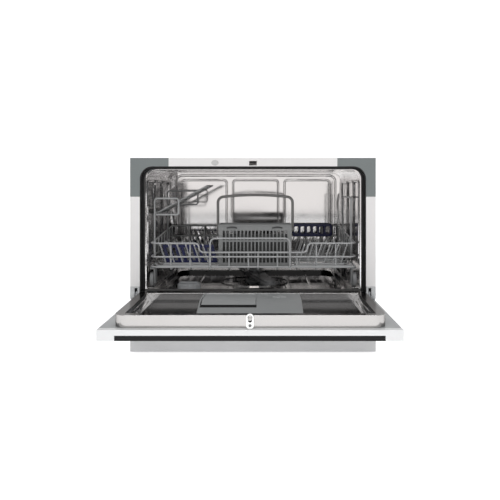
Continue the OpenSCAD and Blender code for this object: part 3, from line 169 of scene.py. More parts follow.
middle = (0.0, 0.0, 0.25)
soft_light("overhead", (0.0, -0.9, 2.3), middle, (2.6, 2.0), 1.5)
fill = soft_light("fill", (0.0, -2.5, 1.5), middle, (3.2, 1.8), 0.85)
fill.visible_glossy = False
soft_light("front", (0.0, -2.9, 0.9), (0.0, 0.0, 0.7), (1.7, 1.5), 0.86, (1.0, 0.97, 0.955))

# ------------------------------------------------------------------ painted sheet steel
# The side panels, top cover and door shell are stamped sheet with a baked white enamel. The
# enamel has a faint orange-peel relief and thins to a brighter line along folded edges.


def new_group(name, inputs, outputs):
    """A shader node group with named sockets; returns it with its input and output nodes."""
    group = bpy.data.node_groups.new(name, "ShaderNodeTree")
    for label, kind in inputs:
        group.interface.new_socket(label, in_out="INPUT", socket_type=kind)
    for label, kind in outputs:
        group.interface.new_socket(label, in_out="OUTPUT", socket_type=kind)
    return group, group.nodes.new("NodeGroupInput"), group.nodes.new("NodeGroupOutput")


def maths(tree, operation, *terms):
    """A Math node over sockets and numbers; returns the socket of its value."""
    node = add_node(tree, "ShaderNodeMath", operation=operation)
    for socket, term in zip(node.inputs, terms):
        if isinstance(term, float):
            socket.default_value = term
        else:
            tree.links.new(term, socket)
    return node.outputs["Value"]


def mixed(tree, factor, first, second):
    """A mix of two colours, each given as a socket or as three numbers; returns its socket."""
    node = add_node(tree, "ShaderNodeMix", data_type="RGBA")
    tree.links.new(factor, node.inputs["Factor"])
    for socket, colour in ((node.inputs[6], first), (node.inputs[7], second)):
        if isinstance(colour, tuple):
            socket.default_value = (*colour, 1.0)
        else:
            tree.links.new(colour, socket)
    return node.outputs[2]


# Broad and fine mottling of a surface: a tinted colour and a height
mottle_group, ends_in, ends_out = new_group(
    "mottle",
    [("Base", "NodeSocketColor"), ("Tint", "NodeSocketColor"), ("Scale", "NodeSocketFloat"),
     ("Amount", "NodeSocketFloat")],
    [("Color", "NodeSocketColor"), ("Height", "NodeSocketFloat"), ("Mask", "NodeSocketFloat")])
coords = add_node(mottle_group, "ShaderNodeTexCoord")
broad = add_node(mottle_group, "ShaderNodeTexNoise", Detail=3.0, Roughness=0.6)
fine = add_node(mottle_group, "ShaderNodeTexNoise", Scale=2600.0, Detail=2.0)
for noise in (broad, fine):
    mottle_group.links.new(coords.outputs["Object"], noise.inputs["Vector"])
mottle_group.links.new(ends_in.outputs["Scale"], broad.inputs["Scale"])
mask = ramp(mottle_group, broad.outputs["Fac"], 0.35, 0.7)
share = maths(mottle_group, "MULTIPLY", mask, ends_in.outputs["Amount"])
blend = mixed(mottle_group, share, ends_in.outputs["Base"], ends_in.outputs["Tint"])
for socket, label in ((blend, "Color"), (fine.outputs["Fac"], "Height"), (mask, "Mask")):
    mottle_group.links.new(socket, ends_out.inputs[label])

# Rounded edges: a bevelled normal, and a mask that is 1 along the edges
edge_group, ends_in, ends_out = new_group(
    "worn_edges",
    [("Radius", "NodeSocketFloat")],
    [("Normal", "NodeSocketVector"), ("Mask", "NodeSocketFloat")])
rounding = add_node(edge_group, "ShaderNodeBevel", samples=4)
surface = add_node(edge_group, "ShaderNodeNewGeometry")
facing = add_node(edge_group, "ShaderNodeVectorMath", operation="DOT_PRODUCT")
edge_group.links.new(ends_in.outputs["Radius"], rounding.inputs["Radius"])
edge_group.links.new(rounding.outputs["Normal"], facing.inputs[0])
edge_group.links.new(surface.outputs["Normal"], facing.inputs[1])
edge_group.links.new(rounding.outputs["Normal"], ends_out.inputs["Normal"])
folded = ramp(edge_group, facing.outputs["Value"], 0.995, 0.85)
edge_group.links.new(folded, ends_out.inputs["Mask"])


def use_group(tree, group):
    """A node in a material's tree that stands for a shared group."""
    node = tree.nodes.new("ShaderNodeGroup")
    node.node_tree = group
    return node


def coated(name, colour, tint, roughness, grain=0.04, edge=0.0006, scale=9.0, amount=0.35,
           edge_gain=0.12):
    """Paint or moulded plastic: mottled colour, lighter worn edges and a fine grain."""
    material, tree, shader = new_material(name, colour, roughness)
    mottle = use_group(tree, mottle_group)
    mottle.inputs["Base"].default_value = (*colour, 1.0)
    mottle.inputs["Tint"].default_value = (*tint, 1.0)
    mottle.inputs["Scale"].default_value = scale
    mottle.inputs["Amount"].default_value = amount
    edges = use_group(tree, edge_group)
    edges.inputs["Radius"].default_value = edge
    wear = maths(tree, "MULTIPLY", edges.outputs["Mask"], edge_gain)
    lighter = mixed(tree, wear, mottle.outputs["Color"], (1.0, 1.0, 1.0))
    gloss = ramp(tree, mottle.outputs["Mask"], 0.0, 1.0, roughness * 0.9, min(1.0, roughness * 1.2))
    relief = add_node(tree, "ShaderNodeBump", Strength=grain, Distance=0.0004)
    tree.links.new(lighter, shader.inputs["Base Color"])
    tree.links.new(gloss, shader.inputs["Roughness"])
    tree.links.new(mottle.outputs["Height"], relief.inputs["Height"])
    tree.links.new(edges.outputs["Normal"], relief.inputs["Normal"])
    tree.links.new(relief.outputs["Normal"], shader.inputs["Normal"])
    return material


# Shades a node smooth wherever two faces meet at less than the given angle
smooth_tree = bpy.data.node_groups.new("smooth_curves", "GeometryNodeTree")
smooth_tree.interface.new_socket("Geometry", in_out="INPUT", socket_type="NodeSocketGeometry")
smooth_tree.interface.new_socket("Geometry", in_out="OUTPUT", socket_type="NodeSocketGeometry")
shape_in = smooth_tree.nodes.new("NodeGroupInput")
shape_out = smooth_tree.nodes.new("NodeGroupOutput")
merge = smooth_tree.nodes.new("GeometryNodeMergeByDistance")
merge.inputs["Distance"].default_value = 0.000002
smooth_faces = smooth_tree.nodes.new("GeometryNodeSetShadeSmooth")
smooth_faces.domain = "FACE"
smooth_faces.inputs["Shade Smooth"].default_value = True
fold = smooth_tree.nodes.new("GeometryNodeInputMeshEdgeAngle")
is_sharp = smooth_tree.nodes.new("FunctionNodeCompare")
is_sharp.operation = "GREATER_THAN"
is_sharp.inputs[1].default_value = math.radians(32.0)
sharp_edges = smooth_tree.nodes.new("GeometryNodeSetShadeSmooth")
sharp_edges.domain = "EDGE"
sharp_edges.inputs["Shade Smooth"].default_value = False
smooth_tree.links.new(shape_in.outputs["Geometry"], merge.inputs["Geometry"])
smooth_tree.links.new(merge.outputs["Geometry"], smooth_faces.inputs["Geometry"])
smooth_tree.links.new(smooth_faces.outputs["Geometry"], sharp_edges.inputs["Geometry"])
smooth_tree.links.new(fold.outputs["Unsigned Angle"], is_sharp.inputs[0])
smooth_tree.links.new(is_sharp.outputs["Result"], sharp_edges.inputs["Selection"])
smooth_tree.links.new(sharp_edges.outputs["Geometry"], shape_out.inputs["Geometry"])


def dress(names, material):
    """Gives solid nodes their material, and shades their curved faces smooth."""
    for name in names:
        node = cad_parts[name]
        node.data.materials.clear()
        node.data.materials.append(material)
        modifier = node.modifiers.new("smooth_curves", "NODES")
        modifier.node_group = smooth_tree


white_enamel = coated("white_enamel", (0.84, 0.845, 0.85), (0.80, 0.81, 0.82), 0.32)
dress(["side_panel_left", "side_panel_right", "top_cover"], white_enamel)

# ------------------------------------------------------------------ plinth and back
# The plinth and the rear sheet are folded from galvanised steel with a thinner grey coat. Both
# hook on to the base tray, and the rear sheet has its louvres pressed out of it.
grey_enamel = coated("grey_enamel", (0.51, 0.51, 0.515), (0.465, 0.47, 0.475), 0.42)
dress(["plinth", "back_panel"], grey_enamel)

# ------------------------------------------------------------------ front frame and its trims
# A white moulding closes the gap between the sheets and the tub. Two slate grey trims are
# clipped into recesses in its upper corners. The hidden white mouldings share its finish.
frame_white = coated("frame_white", (0.83, 0.815, 0.81), (0.80, 0.79, 0.785), 0.36, grain=0.06)
dress(["front_frame", "latch_housing", "air_break", "inlet_valve"], frame_white)
trim_slate = coated("trim_slate", (0.185, 0.205, 0.205), (0.21, 0.23, 0.23), 0.45, grain=0.08)
dress(["corner_trims"], trim_slate)


def shaped(name, material, body, bevel=0.0, segments=2, smooth=True):
    """Finishes the active object as a piece: rounds its edges, gives it a material and its body."""
    piece = bpy.context.object
    piece.name = name
    if bevel:
        rounding = piece.modifiers.new("rounding", "BEVEL")
        rounding.width = bevel
        rounding.segments = segments
        rounding.limit_method = "ANGLE"
        rounding.angle_limit = math.radians(30.0)
        bpy.ops.object.modifier_apply(modifier=rounding.name)
    bpy.ops.object.transform_apply(location=True, rotation=True, scale=True)
    if smooth:
        bpy.ops.object.shade_smooth_by_angle(angle=math.radians(40.0))
    piece.data.materials.clear()
    piece.data.materials.append(material)
    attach(piece, body)
    return piece


def join(parts):
    """Joins objects into the first of them and leaves it active."""
    bpy.ops.object.select_all(action="DESELECT")
    for part in parts:
        part.select_set(True)
    bpy.context.view_layer.objects.active = parts[0]
    bpy.ops.object.join()


def disc(place, radius, depth, direction=(0.0, -1.0, 0.0), sides=32, inset=0.0, sink=0.0):
    """A short cylinder along a direction; its end can have an inset middle that is sunk."""
    turn = Vector(direction).to_track_quat("Z", "Y").to_euler()
    bpy.ops.mesh.primitive_cylinder_add(vertices=sides, radius=radius, depth=depth,
                                        location=place, rotation=turn)
    part = bpy.context.object
    if inset:
        for face in part.data.polygons:
            face.select = face.normal.z > 0.9
        for edge in part.data.edges:
            edge.select = False
        bpy.ops.object.mode_set(mode="EDIT")
        bpy.ops.mesh.select_mode(type="FACE")
        bpy.ops.mesh.inset(thickness=inset)
        bpy.ops.transform.translate(value=Vector(direction).normalized() * -sink)
        bpy.ops.object.mode_set(mode="OBJECT")
    return part


# An oval plug pressed into the hole of the transit screw, left of the latch
plug_grey = coated("plug_grey", (0.60, 0.595, 0.59), (0.52, 0.515, 0.51), 0.22, grain=0.05,
                   edge=0.0008, edge_gain=0.4)
plug_x = -0.085
plug_z = 0.427
bpy.ops.object.select_all(action="DESELECT")
disc((plug_x, front_plane_y - 0.0002, plug_z), 0.0062, 0.0024, inset=0.0016, sink=0.0007)
bpy.ops.object.transform_apply(location=False, rotation=True, scale=False)
bpy.context.object.scale = (1.3, 1.0, 1.0)
shaped("frame_plug", plug_grey, "cabinet", bevel=0.0005)

# ------------------------------------------------------------------ hinge covers and brackets
# Small grey caps are pushed over the zinc plated brackets that are riveted to the side panels.
# The brackets carry the hinge pins, with a wound spring on each.
cap_grey = coated("cap_grey", (0.56, 0.57, 0.575), (0.50, 0.51, 0.52), 0.5, grain=0.1)
dress(["hinge_covers"], cap_grey)

# Drawn or rolled metal: fine streaks along one axis, as a height and a mask
streak_group, ends_in, ends_out = new_group(
    "rolled_streaks",
    [("Stretch", "NodeSocketVector")],
    [("Height", "NodeSocketFloat"), ("Mask", "NodeSocketFloat")])
coords = add_node(streak_group, "ShaderNodeTexCoord")
turn = add_node(streak_group, "ShaderNodeVectorMath", operation="MULTIPLY")
lines = add_node(streak_group, "ShaderNodeTexNoise", Scale=60.0, Detail=4.0, Roughness=0.7)
clouds = add_node(streak_group, "ShaderNodeTexNoise", Scale=14.0, Detail=3.0)
streak_group.links.new(coords.outputs["Object"], turn.inputs[0])
streak_group.links.new(ends_in.outputs["Stretch"], turn.inputs[1])
streak_group.links.new(turn.outputs["Vector"], lines.inputs["Vector"])
streak_group.links.new(coords.outputs["Object"], clouds.inputs["Vector"])
streak_group.links.new(lines.outputs["Fac"], ends_out.inputs["Height"])
streak_group.links.new(clouds.outputs["Fac"], ends_out.inputs["Mask"])


def bare_metal(name, colour, low, high, stretch, relief_gain, edge=0.0005, waves=0.0,
               wave_size=8.0):
    """Rolled metal: streaks along one axis, cloudy roughness and, on thin sheet, slow waves."""
    material, tree, shader = new_material(name, colour, low, 1.0)
    streaks = use_group(tree, streak_group)
    streaks.inputs["Stretch"].default_value = stretch
    edges = use_group(tree, edge_group)
    edges.inputs["Radius"].default_value = edge
    gloss = ramp(tree, streaks.outputs["Mask"], 0.3, 0.7, low, high)
    relief = add_node(tree, "ShaderNodeBump", Strength=relief_gain, Distance=0.0002)
    coords = add_node(tree, "ShaderNodeTexCoord")
    swell = add_node(tree, "ShaderNodeTexNoise", Scale=wave_size, Detail=1.0)
    sheet_waves = add_node(tree, "ShaderNodeBump", Strength=waves, Distance=0.004)
    tree.links.new(gloss, shader.inputs["Roughness"])
    tree.links.new(coords.outputs["Object"], swell.inputs["Vector"])
    tree.links.new(swell.outputs["Fac"], sheet_waves.inputs["Height"])
    tree.links.new(edges.outputs["Normal"], sheet_waves.inputs["Normal"])
    tree.links.new(streaks.outputs["Height"], relief.inputs["Height"])
    tree.links.new(sheet_waves.outputs["Normal"], relief.inputs["Normal"])
    tree.links.new(relief.outputs["Normal"], shader.inputs["Normal"])
    return material


zinc = bare_metal("zinc_plate", (0.55, 0.56, 0.58), 0.32, 0.48, (1.0, 6.0, 6.0), 0.2)
dress(["hinge_brackets", "hinge_arms"], zinc)
spring_steel = bare_metal("spring_steel", (0.38, 0.38, 0.4), 0.3, 0.4, (3.0, 3.0, 3.0), 0.1)
dress(["hinge_springs"], spring_steel)

# ------------------------------------------------------------------ feet and door seals
# Black rubber: four feet pressed into the base tray, the profile pushed on to the flange round
# the door opening, and a greyer lip along the sill.


def rubber(name, colour, roughness):
    """Moulded rubber with a dusty bloom."""
    return coated(name, colour, tuple(3.0 * c for c in colour), roughness,
                  grain=0.12, edge=0.0008, scale=30.0, amount=0.5, edge_gain=0.05)


black_rubber = rubber("black_rubber", (0.006, 0.006, 0.0065), 0.62)
dress(["feet", "door_seal"], black_rubber)
sill_rubber = rubber("sill_rubber", (0.035, 0.034, 0.033), 0.5)
dress(["sill_seal"], sill_rubber)

# ------------------------------------------------------------------ base tray and works
# The tray is a black moulding that the panels are screwed to. It carries the sump, two pumps,
# the softener and the connections.
tray_black = coated("tray_black", (0.045, 0.047, 0.05), (0.06, 0.062, 0.065), 0.55, grain=0.2)
dress(["base_tray", "sump", "circulation_pump", "drain_pump", "power_gland"], tray_black)
natural_white = coated("natural_white", (0.74, 0.73, 0.69), (0.68, 0.67, 0.63), 0.5, grain=0.1)
dress(["softener"], natural_white)


def cross_screw(place, radius, direction=(0.0, -1.0, 0.0)):
    """A pan-head screw with a cross recess; place is the middle of its seat."""
    outward = Vector(direction).normalized()
    height = radius * 0.6
    head = disc(Vector(place) + outward * height / 2, radius, height, direction, sides=24)
    dome = head.modifiers.new("dome", "BEVEL")
    dome.width = height * 0.8
    dome.segments = 3
    dome.limit_method = "ANGLE"
    bpy.ops.object.modifier_apply(modifier=dome.name)
    turn = outward.to_track_quat("Z", "Y").to_euler()
    long_side = radius * 1.1
    short_side = radius * 0.22
    for size in ((long_side, short_side), (short_side, long_side)):
        bpy.ops.mesh.primitive_cube_add(size=1.0, location=Vector(place) + outward * height,
                                        rotation=turn)
        cutter = bpy.context.object
        cutter.scale = (*size, height)
        cut = head.modifiers.new("recess", "BOOLEAN")
        cut.operation = "DIFFERENCE"
        cut.solver = "EXACT"
        cut.object = cutter
        bpy.context.view_layer.objects.active = head
        bpy.ops.object.modifier_apply(modifier=cut.name)
        bpy.data.objects.remove(cutter)
    return head


def copies(model, places):
    """Copies of a model, each with its own mesh, at each (location, rotation); the model goes."""
    made = []
    for location, rotation in places:
        part = model.copy()
        part.data = model.data.copy()
        part.location = location
        part.rotation_euler = rotation
        bpy.context.scene.collection.objects.link(part)
        made.append(part)
    bpy.data.meshes.remove(model.data)
    return made


# Five screws through the tray's back wall, which is set in from the rear sheet
tray_back_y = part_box("base_tray")[1].y - 0.0001
screw_z = 0.078
head = cross_screw((0.0, 0.0, 0.0), 0.0036, (0.0, 1.0, 0.0))
seat = head.location + Vector((0.0, tray_back_y, screw_z))
join(copies(head, [(seat + Vector((x, 0.0, 0.0)), head.rotation_euler.copy())
                   for x in (-0.262, -0.160, -0.040, 0.080, 0.262)]))
shaped("back_screws", zinc, "cabinet", smooth=False)

# ------------------------------------------------------------------ tub
# The tub is wrapped from bright stainless sheet. Its panels are pressed, so the sheet is a
# little wavy, and it mirrors the rack and the bright room in front of the machine.
tub_bright = (0.78, 0.765, 0.76)
bright_steel = bare_metal("bright_steel", tub_bright, 0.05, 0.10, (1.0, 1.0, 22.0), 0.02,
                          edge=0.0012, waves=0.05, wave_size=7.0)
dress(["tub"], bright_steel)

# Painted shade: the colour is darkened along the pressed beads' edges, standing in for their dark
# reflections
tree = bright_steel.node_tree
shader = tree.nodes["Principled BSDF"]
creases = use_group(tree, edge_group)
creases.inputs["Radius"].default_value = 0.0018
bead_shade_colour = mixed(tree, creases.outputs["Mask"], tub_bright, (0.05, 0.046, 0.043))
tree.links.new(bead_shade_colour, shader.inputs["Base Color"])


def axes_of(tree):
    """An object's own coordinates in a material: the sockets of the vector, X, Y and Z."""
    coords = add_node(tree, "ShaderNodeTexCoord")
    parts = add_node(tree, "ShaderNodeSeparateXYZ")
    tree.links.new(coords.outputs["Object"], parts.inputs["Vector"])
    return coords.outputs["Object"], *parts.outputs


# Long upright waves in the side walls, where the wrap was bent
wall_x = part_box("tub")[1].x
wave_start = 0.030
wave_full = 0.012
place, x = axes_of(tree)[:2]
at_left = ramp(tree, x, wave_start - wall_x, wave_full - wall_x)
at_right = ramp(tree, x, wall_x - wave_start, wall_x - wave_full, 0.0, 0.12)
uprights = add_node(tree, "ShaderNodeVectorMath", operation="MULTIPLY")
uprights.inputs[1].default_value = (1.0, 30.0, 4.0)
ripples = add_node(tree, "ShaderNodeTexNoise", Scale=1.0, Detail=3.0, Roughness=0.55)
depth = maths(tree, "MULTIPLY", ripples.outputs["Fac"], maths(tree, "ADD", at_left, at_right))
pull = add_node(tree, "ShaderNodeBump", Distance=0.02)
tree.links.new(place, uprights.inputs[0])
tree.links.new(uprights.outputs["Vector"], ripples.inputs["Vector"])
tree.links.new(depth, pull.inputs["Height"])
tree.links.new(shader.inputs["Normal"].links[0].from_socket, pull.inputs["Normal"])
tree.links.new(pull.outputs["Normal"], shader.inputs["Normal"])

# ------------------------------------------------------------------ tub floor and filter plate
# One dished steel pressing with ribs and the rails that the rack rolls on, welded into the
# wrap, and the perforated filter plate that drops into its middle.
floor_bright = (0.90, 0.88, 0.86)
floor_steel = bare_metal("floor_steel", floor_bright, 0.03, 0.07, (22.0, 1.0, 1.0), 0.02,
                         edge=0.0012, waves=0.08, wave_size=14.0)
dress(["tub_floor", "filter_plate"], floor_steel)

# Painted shade: the floor's colour is darkened towards the back and under the filter, standing in
# for a dark reflection
tree = floor_steel.node_tree
shader = tree.nodes["Principled BSDF"]
place, x, y = axes_of(tree)[:3]
shade_edge_noise = add_node(tree, "ShaderNodeTexNoise", Scale=30.0, Detail=3.0)
tree.links.new(place, shade_edge_noise.inputs["Vector"])
shade_line = maths(tree, "MULTIPLY_ADD", shade_edge_noise.outputs["Fac"], 0.05, y)
rear_shade = ramp(tree, shade_line, front_plane_y + 0.155, front_plane_y + 0.235)
tree.links.new(mixed(tree, rear_shade, floor_bright, (0.035, 0.035, 0.035)), shader.inputs["Base Color"])


def band(tree, axis, middle, outside, inside):
    """A mask that is 1 nearer to the middle of an axis than inside, and 0 further than outside."""
    away = maths(tree, "ABSOLUTE", maths(tree, "SUBTRACT", axis, middle))
    return ramp(tree, away, outside, inside)


# Brushed panels between the pressed ribs, which scatter light and mirror less
left_panel_x = -0.095
right_panel_x = 0.134
panel_y = front_plane_y + 0.128
across = maths(tree, "MAXIMUM", band(tree, x, left_panel_x, 0.064, 0.058),
               band(tree, x, right_panel_x, 0.055, 0.049))
panels = maths(tree, "MULTIPLY", across, band(tree, y, panel_y, 0.066, 0.054))
tree.links.new(ramp(tree, panels, 0.0, 1.0, 1.0, 0.85), shader.inputs["Metallic"])
polish = shader.inputs["Roughness"]
tree.links.new(maths(tree, "MULTIPLY_ADD", panels, 0.13, polish.links[0].from_socket), polish)

# ------------------------------------------------------------------ fittings on the tub's floor
# Spray hub, coarse filter and drain spigot are moulded in grey polypropylene, the screwed cap of
# the salt container in a paler one, and the arm, which snaps on to its hub, in a glossy dark one.
works_grey = coated("works_grey", (0.20, 0.205, 0.21), (0.24, 0.245, 0.25), 0.5, grain=0.15)
dress(["spray_hub", "coarse_filter", "drain_outlet"], works_grey)
works_pale = coated("works_pale", (0.42, 0.43, 0.44), (0.38, 0.39, 0.4), 0.42, grain=0.12)
dress(["salt_cap"], works_pale)
arm_grey = coated("arm_grey", (0.11, 0.112, 0.115), (0.15, 0.152, 0.155), 0.2, grain=0.05)
dress(["spray_arm"], arm_grey)

# ------------------------------------------------------------------ door shell and frame
# A white enamelled shell, folded from sheet, is hooked round a grey inner frame of the same sheet
# with a thinner coat. The hinge arms are screwed into the frame.
dress(["door_panel"], white_enamel)
door_grey = coated("door_grey", (0.37, 0.38, 0.385), (0.34, 0.35, 0.355), 0.42)
dress(["door_frame"], door_grey)

# Painted light: the frame in front of the liner, seen at a glancing angle, is painted near white
tree = door_grey.node_tree
liner_low, liner_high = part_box("door_liner")
y = axes_of(tree)[2]
coat = tree.nodes["Principled BSDF"].inputs["Base Color"]
painted_light_strip = ramp(tree, y, liner_low.y + 0.0004, liner_low.y - 0.0002)
tree.links.new(mixed(tree, painted_light_strip, coat.links[0].from_socket, (0.80, 0.80, 0.80)), coat)

# ------------------------------------------------------------------ door liner
# A deep-drawn tray of stainless sheet, screwed to the frame from behind. It is bright on its rim;
# its basin has painted shade, and the basin's slopes and far wall a painted reflection.
liner_bright = (0.54, 0.525, 0.515)
liner_steel = bare_metal("liner_steel", liner_bright, 0.12, 0.20, (22.0, 1.0, 1.0), 0.05,
                         edge=0.0015, waves=0.08, wave_size=16.0)
dress(["door_liner"], liner_steel)

# The brushed sheet mirrors less at a glancing angle than polished metal does
tree = liner_steel.node_tree
shader = tree.nodes["Principled BSDF"]
shader.inputs["Specular Tint"].default_value = (0.3, 0.3, 0.3, 1.0)

# The basin inside the rim and its flat floor. Painted shade: the flat floor is darker than the
# rim, darkest away from the near lip. Painted reflection: the slopes and far wall are painted
# white.
rim_x = liner_high.x - 0.0175
lip_y = liner_low.y + 0.0175
foot_x = liner_high.x - 0.0305
far_foot_y = front_plane_y + 0.012 - 0.0475
x, y, z = axes_of(tree)[1:]
aside = maths(tree, "ABSOLUTE", x)
inside_rim = maths(tree, "MULTIPLY", ramp(tree, aside, rim_x, rim_x - 0.0025),
                   ramp(tree, y, lip_y, lip_y + 0.0025))
under_rim = ramp(tree, z, liner_high.z - 0.0004, liner_high.z - 0.0025)
basin = maths(tree, "MULTIPLY", inside_rim, under_rim)
between_slopes = ramp(tree, aside, foot_x, foot_x - 0.0020)
before_wall = ramp(tree, y, far_foot_y, far_foot_y - 0.0015)
sunk = ramp(tree, z, liner_high.z - 0.0135, liner_high.z - 0.0155)
flat = maths(tree, "MULTIPLY", between_slopes, maths(tree, "MAXIMUM", before_wall, sunk))
near_lip = ramp(tree, y, liner_low.y + 0.135, liner_low.y + 0.045)
basin_shade = mixed(tree, near_lip, (0.27, 0.27, 0.27), (0.44, 0.44, 0.44))
painted_liner_tones = mixed(tree, basin, liner_bright, mixed(tree, flat, (1.0, 1.0, 1.0), basin_shade))

# Painted highlight: edges near the rim are lightened in colour
rim_highlight = use_group(tree, edge_group)
rim_highlight.inputs["Radius"].default_value = 0.0016
upper = ramp(tree, z, liner_high.z - 0.010, liner_high.z - 0.006)
rim_highlight_mask = maths(tree, "MULTIPLY", rim_highlight.outputs["Mask"], upper)
tree.links.new(mixed(tree, rim_highlight_mask, painted_liner_tones, (0.95, 0.94, 0.93)), shader.inputs["Base Color"])

# Two pressed bars on each sloped side wall of the basin
slope_foot = Vector((liner_high.x - 0.031, 0.0, liner_high.z - 0.0175))
slope_head = Vector((liner_high.x - 0.017, 0.0, liner_high.z))
slope_tilt = math.atan2(slope_head.z - slope_foot.z, slope_head.x - slope_foot.x)
liner_middle_y = (liner_low.y + liner_high.y) / 2
for side, name in ((-1, "liner_bars_left"), (1, "liner_bars_right")):
    bpy.ops.mesh.primitive_cube_add(size=1.0)
    bpy.context.object.scale = (0.0034, 0.150, 0.0016)
    bpy.ops.object.transform_apply(location=False, rotation=False, scale=True)
    places = []
    for along in (0.3, 0.62):
        spot = slope_foot.lerp(slope_head, along)
        places.append(((side * spot.x, liner_middle_y, spot.z), (0.0, -side * slope_tilt, 0.0)))
    join(copies(bpy.context.object, places))
    shaped(name, bright_steel, "door", bevel=0.0007, segments=3)

# ------------------------------------------------------------------ fascia, buttons and display
# The fascia is a black moulding with a scooped grip. Its buttons are dark grey, and the display
# is behind a tinted window. A green board clipped behind it carries the switches.
fascia_black = coated("fascia_black", (0.010, 0.010, 0.011), (0.013, 0.013, 0.014), 0.38,
                      grain=0.02, edge_gain=0.05)
shader = fascia_black.node_tree.nodes["Principled BSDF"]
shader.inputs["Specular IOR Level"].default_value = 0.2
dress(["control_panel"], fascia_black)
button_grey = coated("button_grey", (0.07, 0.07, 0.075), (0.09, 0.09, 0.095), 0.3, grain=0.04)
dress(["power_button", "program_button", "delay_button", "start_button"], button_grey)


def ring_part(place, radius, width, gap=0.0):
    """A flat printed ring that faces down, with a gap at the door's upper edge."""
    bpy.ops.mesh.primitive_torus_add(major_radius=radius, minor_radius=width / 2,
                                     major_segments=36, minor_segments=4, location=place)
    part = bpy.context.object
    part.scale = (1.0, 1.0, 0.15)
    for vertex in part.data.vertices:
        vertex.select = vertex.co.y < 0 and abs(vertex.co.x) < gap
    for edge in part.data.edges:
        edge.select = False
    bpy.ops.object.mode_set(mode="EDIT")
    bpy.ops.mesh.select_mode(type="VERT")
    if gap:
        bpy.ops.mesh.delete(type="VERT")
        bpy.ops.mesh.select_all(action="SELECT")
        bpy.ops.mesh.fill_holes(sides=4)
    bpy.ops.object.mode_set(mode="OBJECT")
    return part


def bar_part(place, width, length, turn=0.0, taper=1.0):
    """A flat printed bar that faces down; taper narrows its end at the door's lower edge."""
    bpy.ops.mesh.primitive_cube_add(size=1.0, location=place, rotation=(0.0, 0.0, turn))
    part = bpy.context.object
    part.scale = (width, length, 0.0001)
    for vertex in part.data.vertices:
        if vertex.co.y > 0:
            vertex.co.x *= taper
    return part


# White symbols printed on the buttons: power, a list of programs, a clock and start
print_white = coated("print_white", (0.74, 0.74, 0.73), (0.66, 0.66, 0.65), 0.5, grain=0.02,
                     edge=0.00005)
marks = {}
for name in ("power", "program", "delay", "start"):
    low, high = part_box(name + "_button")
    marks[name] = Vector(((low.x + high.x) / 2, (low.y + high.y) / 2, low.z - 0.00006))
stem = Vector((0.0, -0.0024, 0.0))
hour_hand = Vector((0.0008, 0.0, 0.0))
minute_hand = Vector((0.0, -0.0011, 0.0))
line_step = Vector((0.0, 0.0018, 0.0))
symbols = {
    "power": [ring_part(marks["power"], 0.0030, 0.0007, gap=0.0012),
              bar_part(marks["power"] + stem, 0.0007, 0.0030)],
    "program": [bar_part(marks["program"] + line * line_step, 0.0054, 0.0007)
                for line in (-1, 0, 1)],
    "delay": [ring_part(marks["delay"], 0.0032, 0.0006),
              bar_part(marks["delay"] + minute_hand, 0.0005, 0.0022),
              bar_part(marks["delay"] + hour_hand, 0.0016, 0.0005)],
    "start": [bar_part(marks["start"], 0.0050, 0.0052, turn=math.radians(90.0), taper=0.04)],
}
for name, parts in symbols.items():
    join(parts)
    shaped(name + "_symbol", print_white, name, smooth=False)

# Three small lamps on each side of the display
lamp_clear = coated("lamp_clear", (0.30, 0.18, 0.05), (0.36, 0.22, 0.08), 0.12, grain=0.0)
lamp_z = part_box("control_panel")[0].z - 0.0001
lamp = disc((0.0, 0.0, 0.0), 0.0013, 0.0008, (0.0, 0.0, -1.0), sides=16)
join(copies(lamp, [((x, marks["power"].y, lamp_z), lamp.rotation_euler.copy())
                   for x in (-0.084, -0.072, -0.060, 0.060, 0.072, 0.084)]))
shaped("panel_lamps", lamp_clear, "door", bevel=0.0003)
window_tint = coated("window_tint", (0.01, 0.016, 0.018), (0.012, 0.02, 0.022), 0.08, grain=0.0)
dress(["display_window"], window_tint)
board_green = coated("board_green", (0.02, 0.16, 0.06), (0.03, 0.2, 0.08), 0.35, scale=60.0)
dress(["control_board"], board_green)

# ------------------------------------------------------------------ latch hook
# A chromed loop in the middle of the door's edge, cast in one with a foot that one screw holds.
# A raised bead runs round the hole at its upper end.
chrome = bare_metal("chrome", (0.82, 0.82, 0.81), 0.12, 0.2, (4.0, 4.0, 4.0), 0.02)
dress(["latch_hook"], chrome)
hook_low, hook_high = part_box("latch_hook")
hook_x = (hook_low.x + hook_high.x) / 2
screw_steel = bare_metal("screw_steel", (0.24, 0.24, 0.245), 0.3, 0.4, (4.0, 4.0, 4.0), 0.03)
bpy.ops.object.select_all(action="DESELECT")
cross_screw((hook_x, hook_low.y + 0.0004, hook_low.z + 0.0065), 0.0026)
shaped("hook_screw", screw_steel, "door", smooth=False)
bpy.ops.mesh.primitive_torus_add(major_radius=0.0042, minor_radius=0.0006,
                                 major_segments=40, minor_segments=8,
                                 location=(hook_x, hook_low.y + 0.0011, hook_high.z - 0.0080),
                                 rotation=(math.radians(90.0), 0.0, 0.0))
shaped("hook_bead", chrome, "door")

# ------------------------------------------------------------------ dispenser
# A grey moulding is let into the liner and screwed from behind. Its lid slides, its cap takes a
# quarter turn, and black strips in front of the lid and at its left side are a painted shadow.
dispenser_grey = coated("dispenser_grey", (0.345, 0.355, 0.355), (0.31, 0.32, 0.325), 0.42,
                        grain=0.12, edge=0.0012, edge_gain=0.35)
dress(["dispenser"], dispenser_grey)
lid_grey = coated("lid_grey", (0.40, 0.41, 0.41), (0.365, 0.375, 0.375), 0.38, grain=0.1,
                  edge=0.001, edge_gain=0.3)
dress(["detergent_lid"], lid_grey)
lid_low, lid_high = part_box("detergent_lid")
slope_run = 0.068
slope_drop = 0.0163
slope_angle = math.atan2(slope_drop, slope_run)
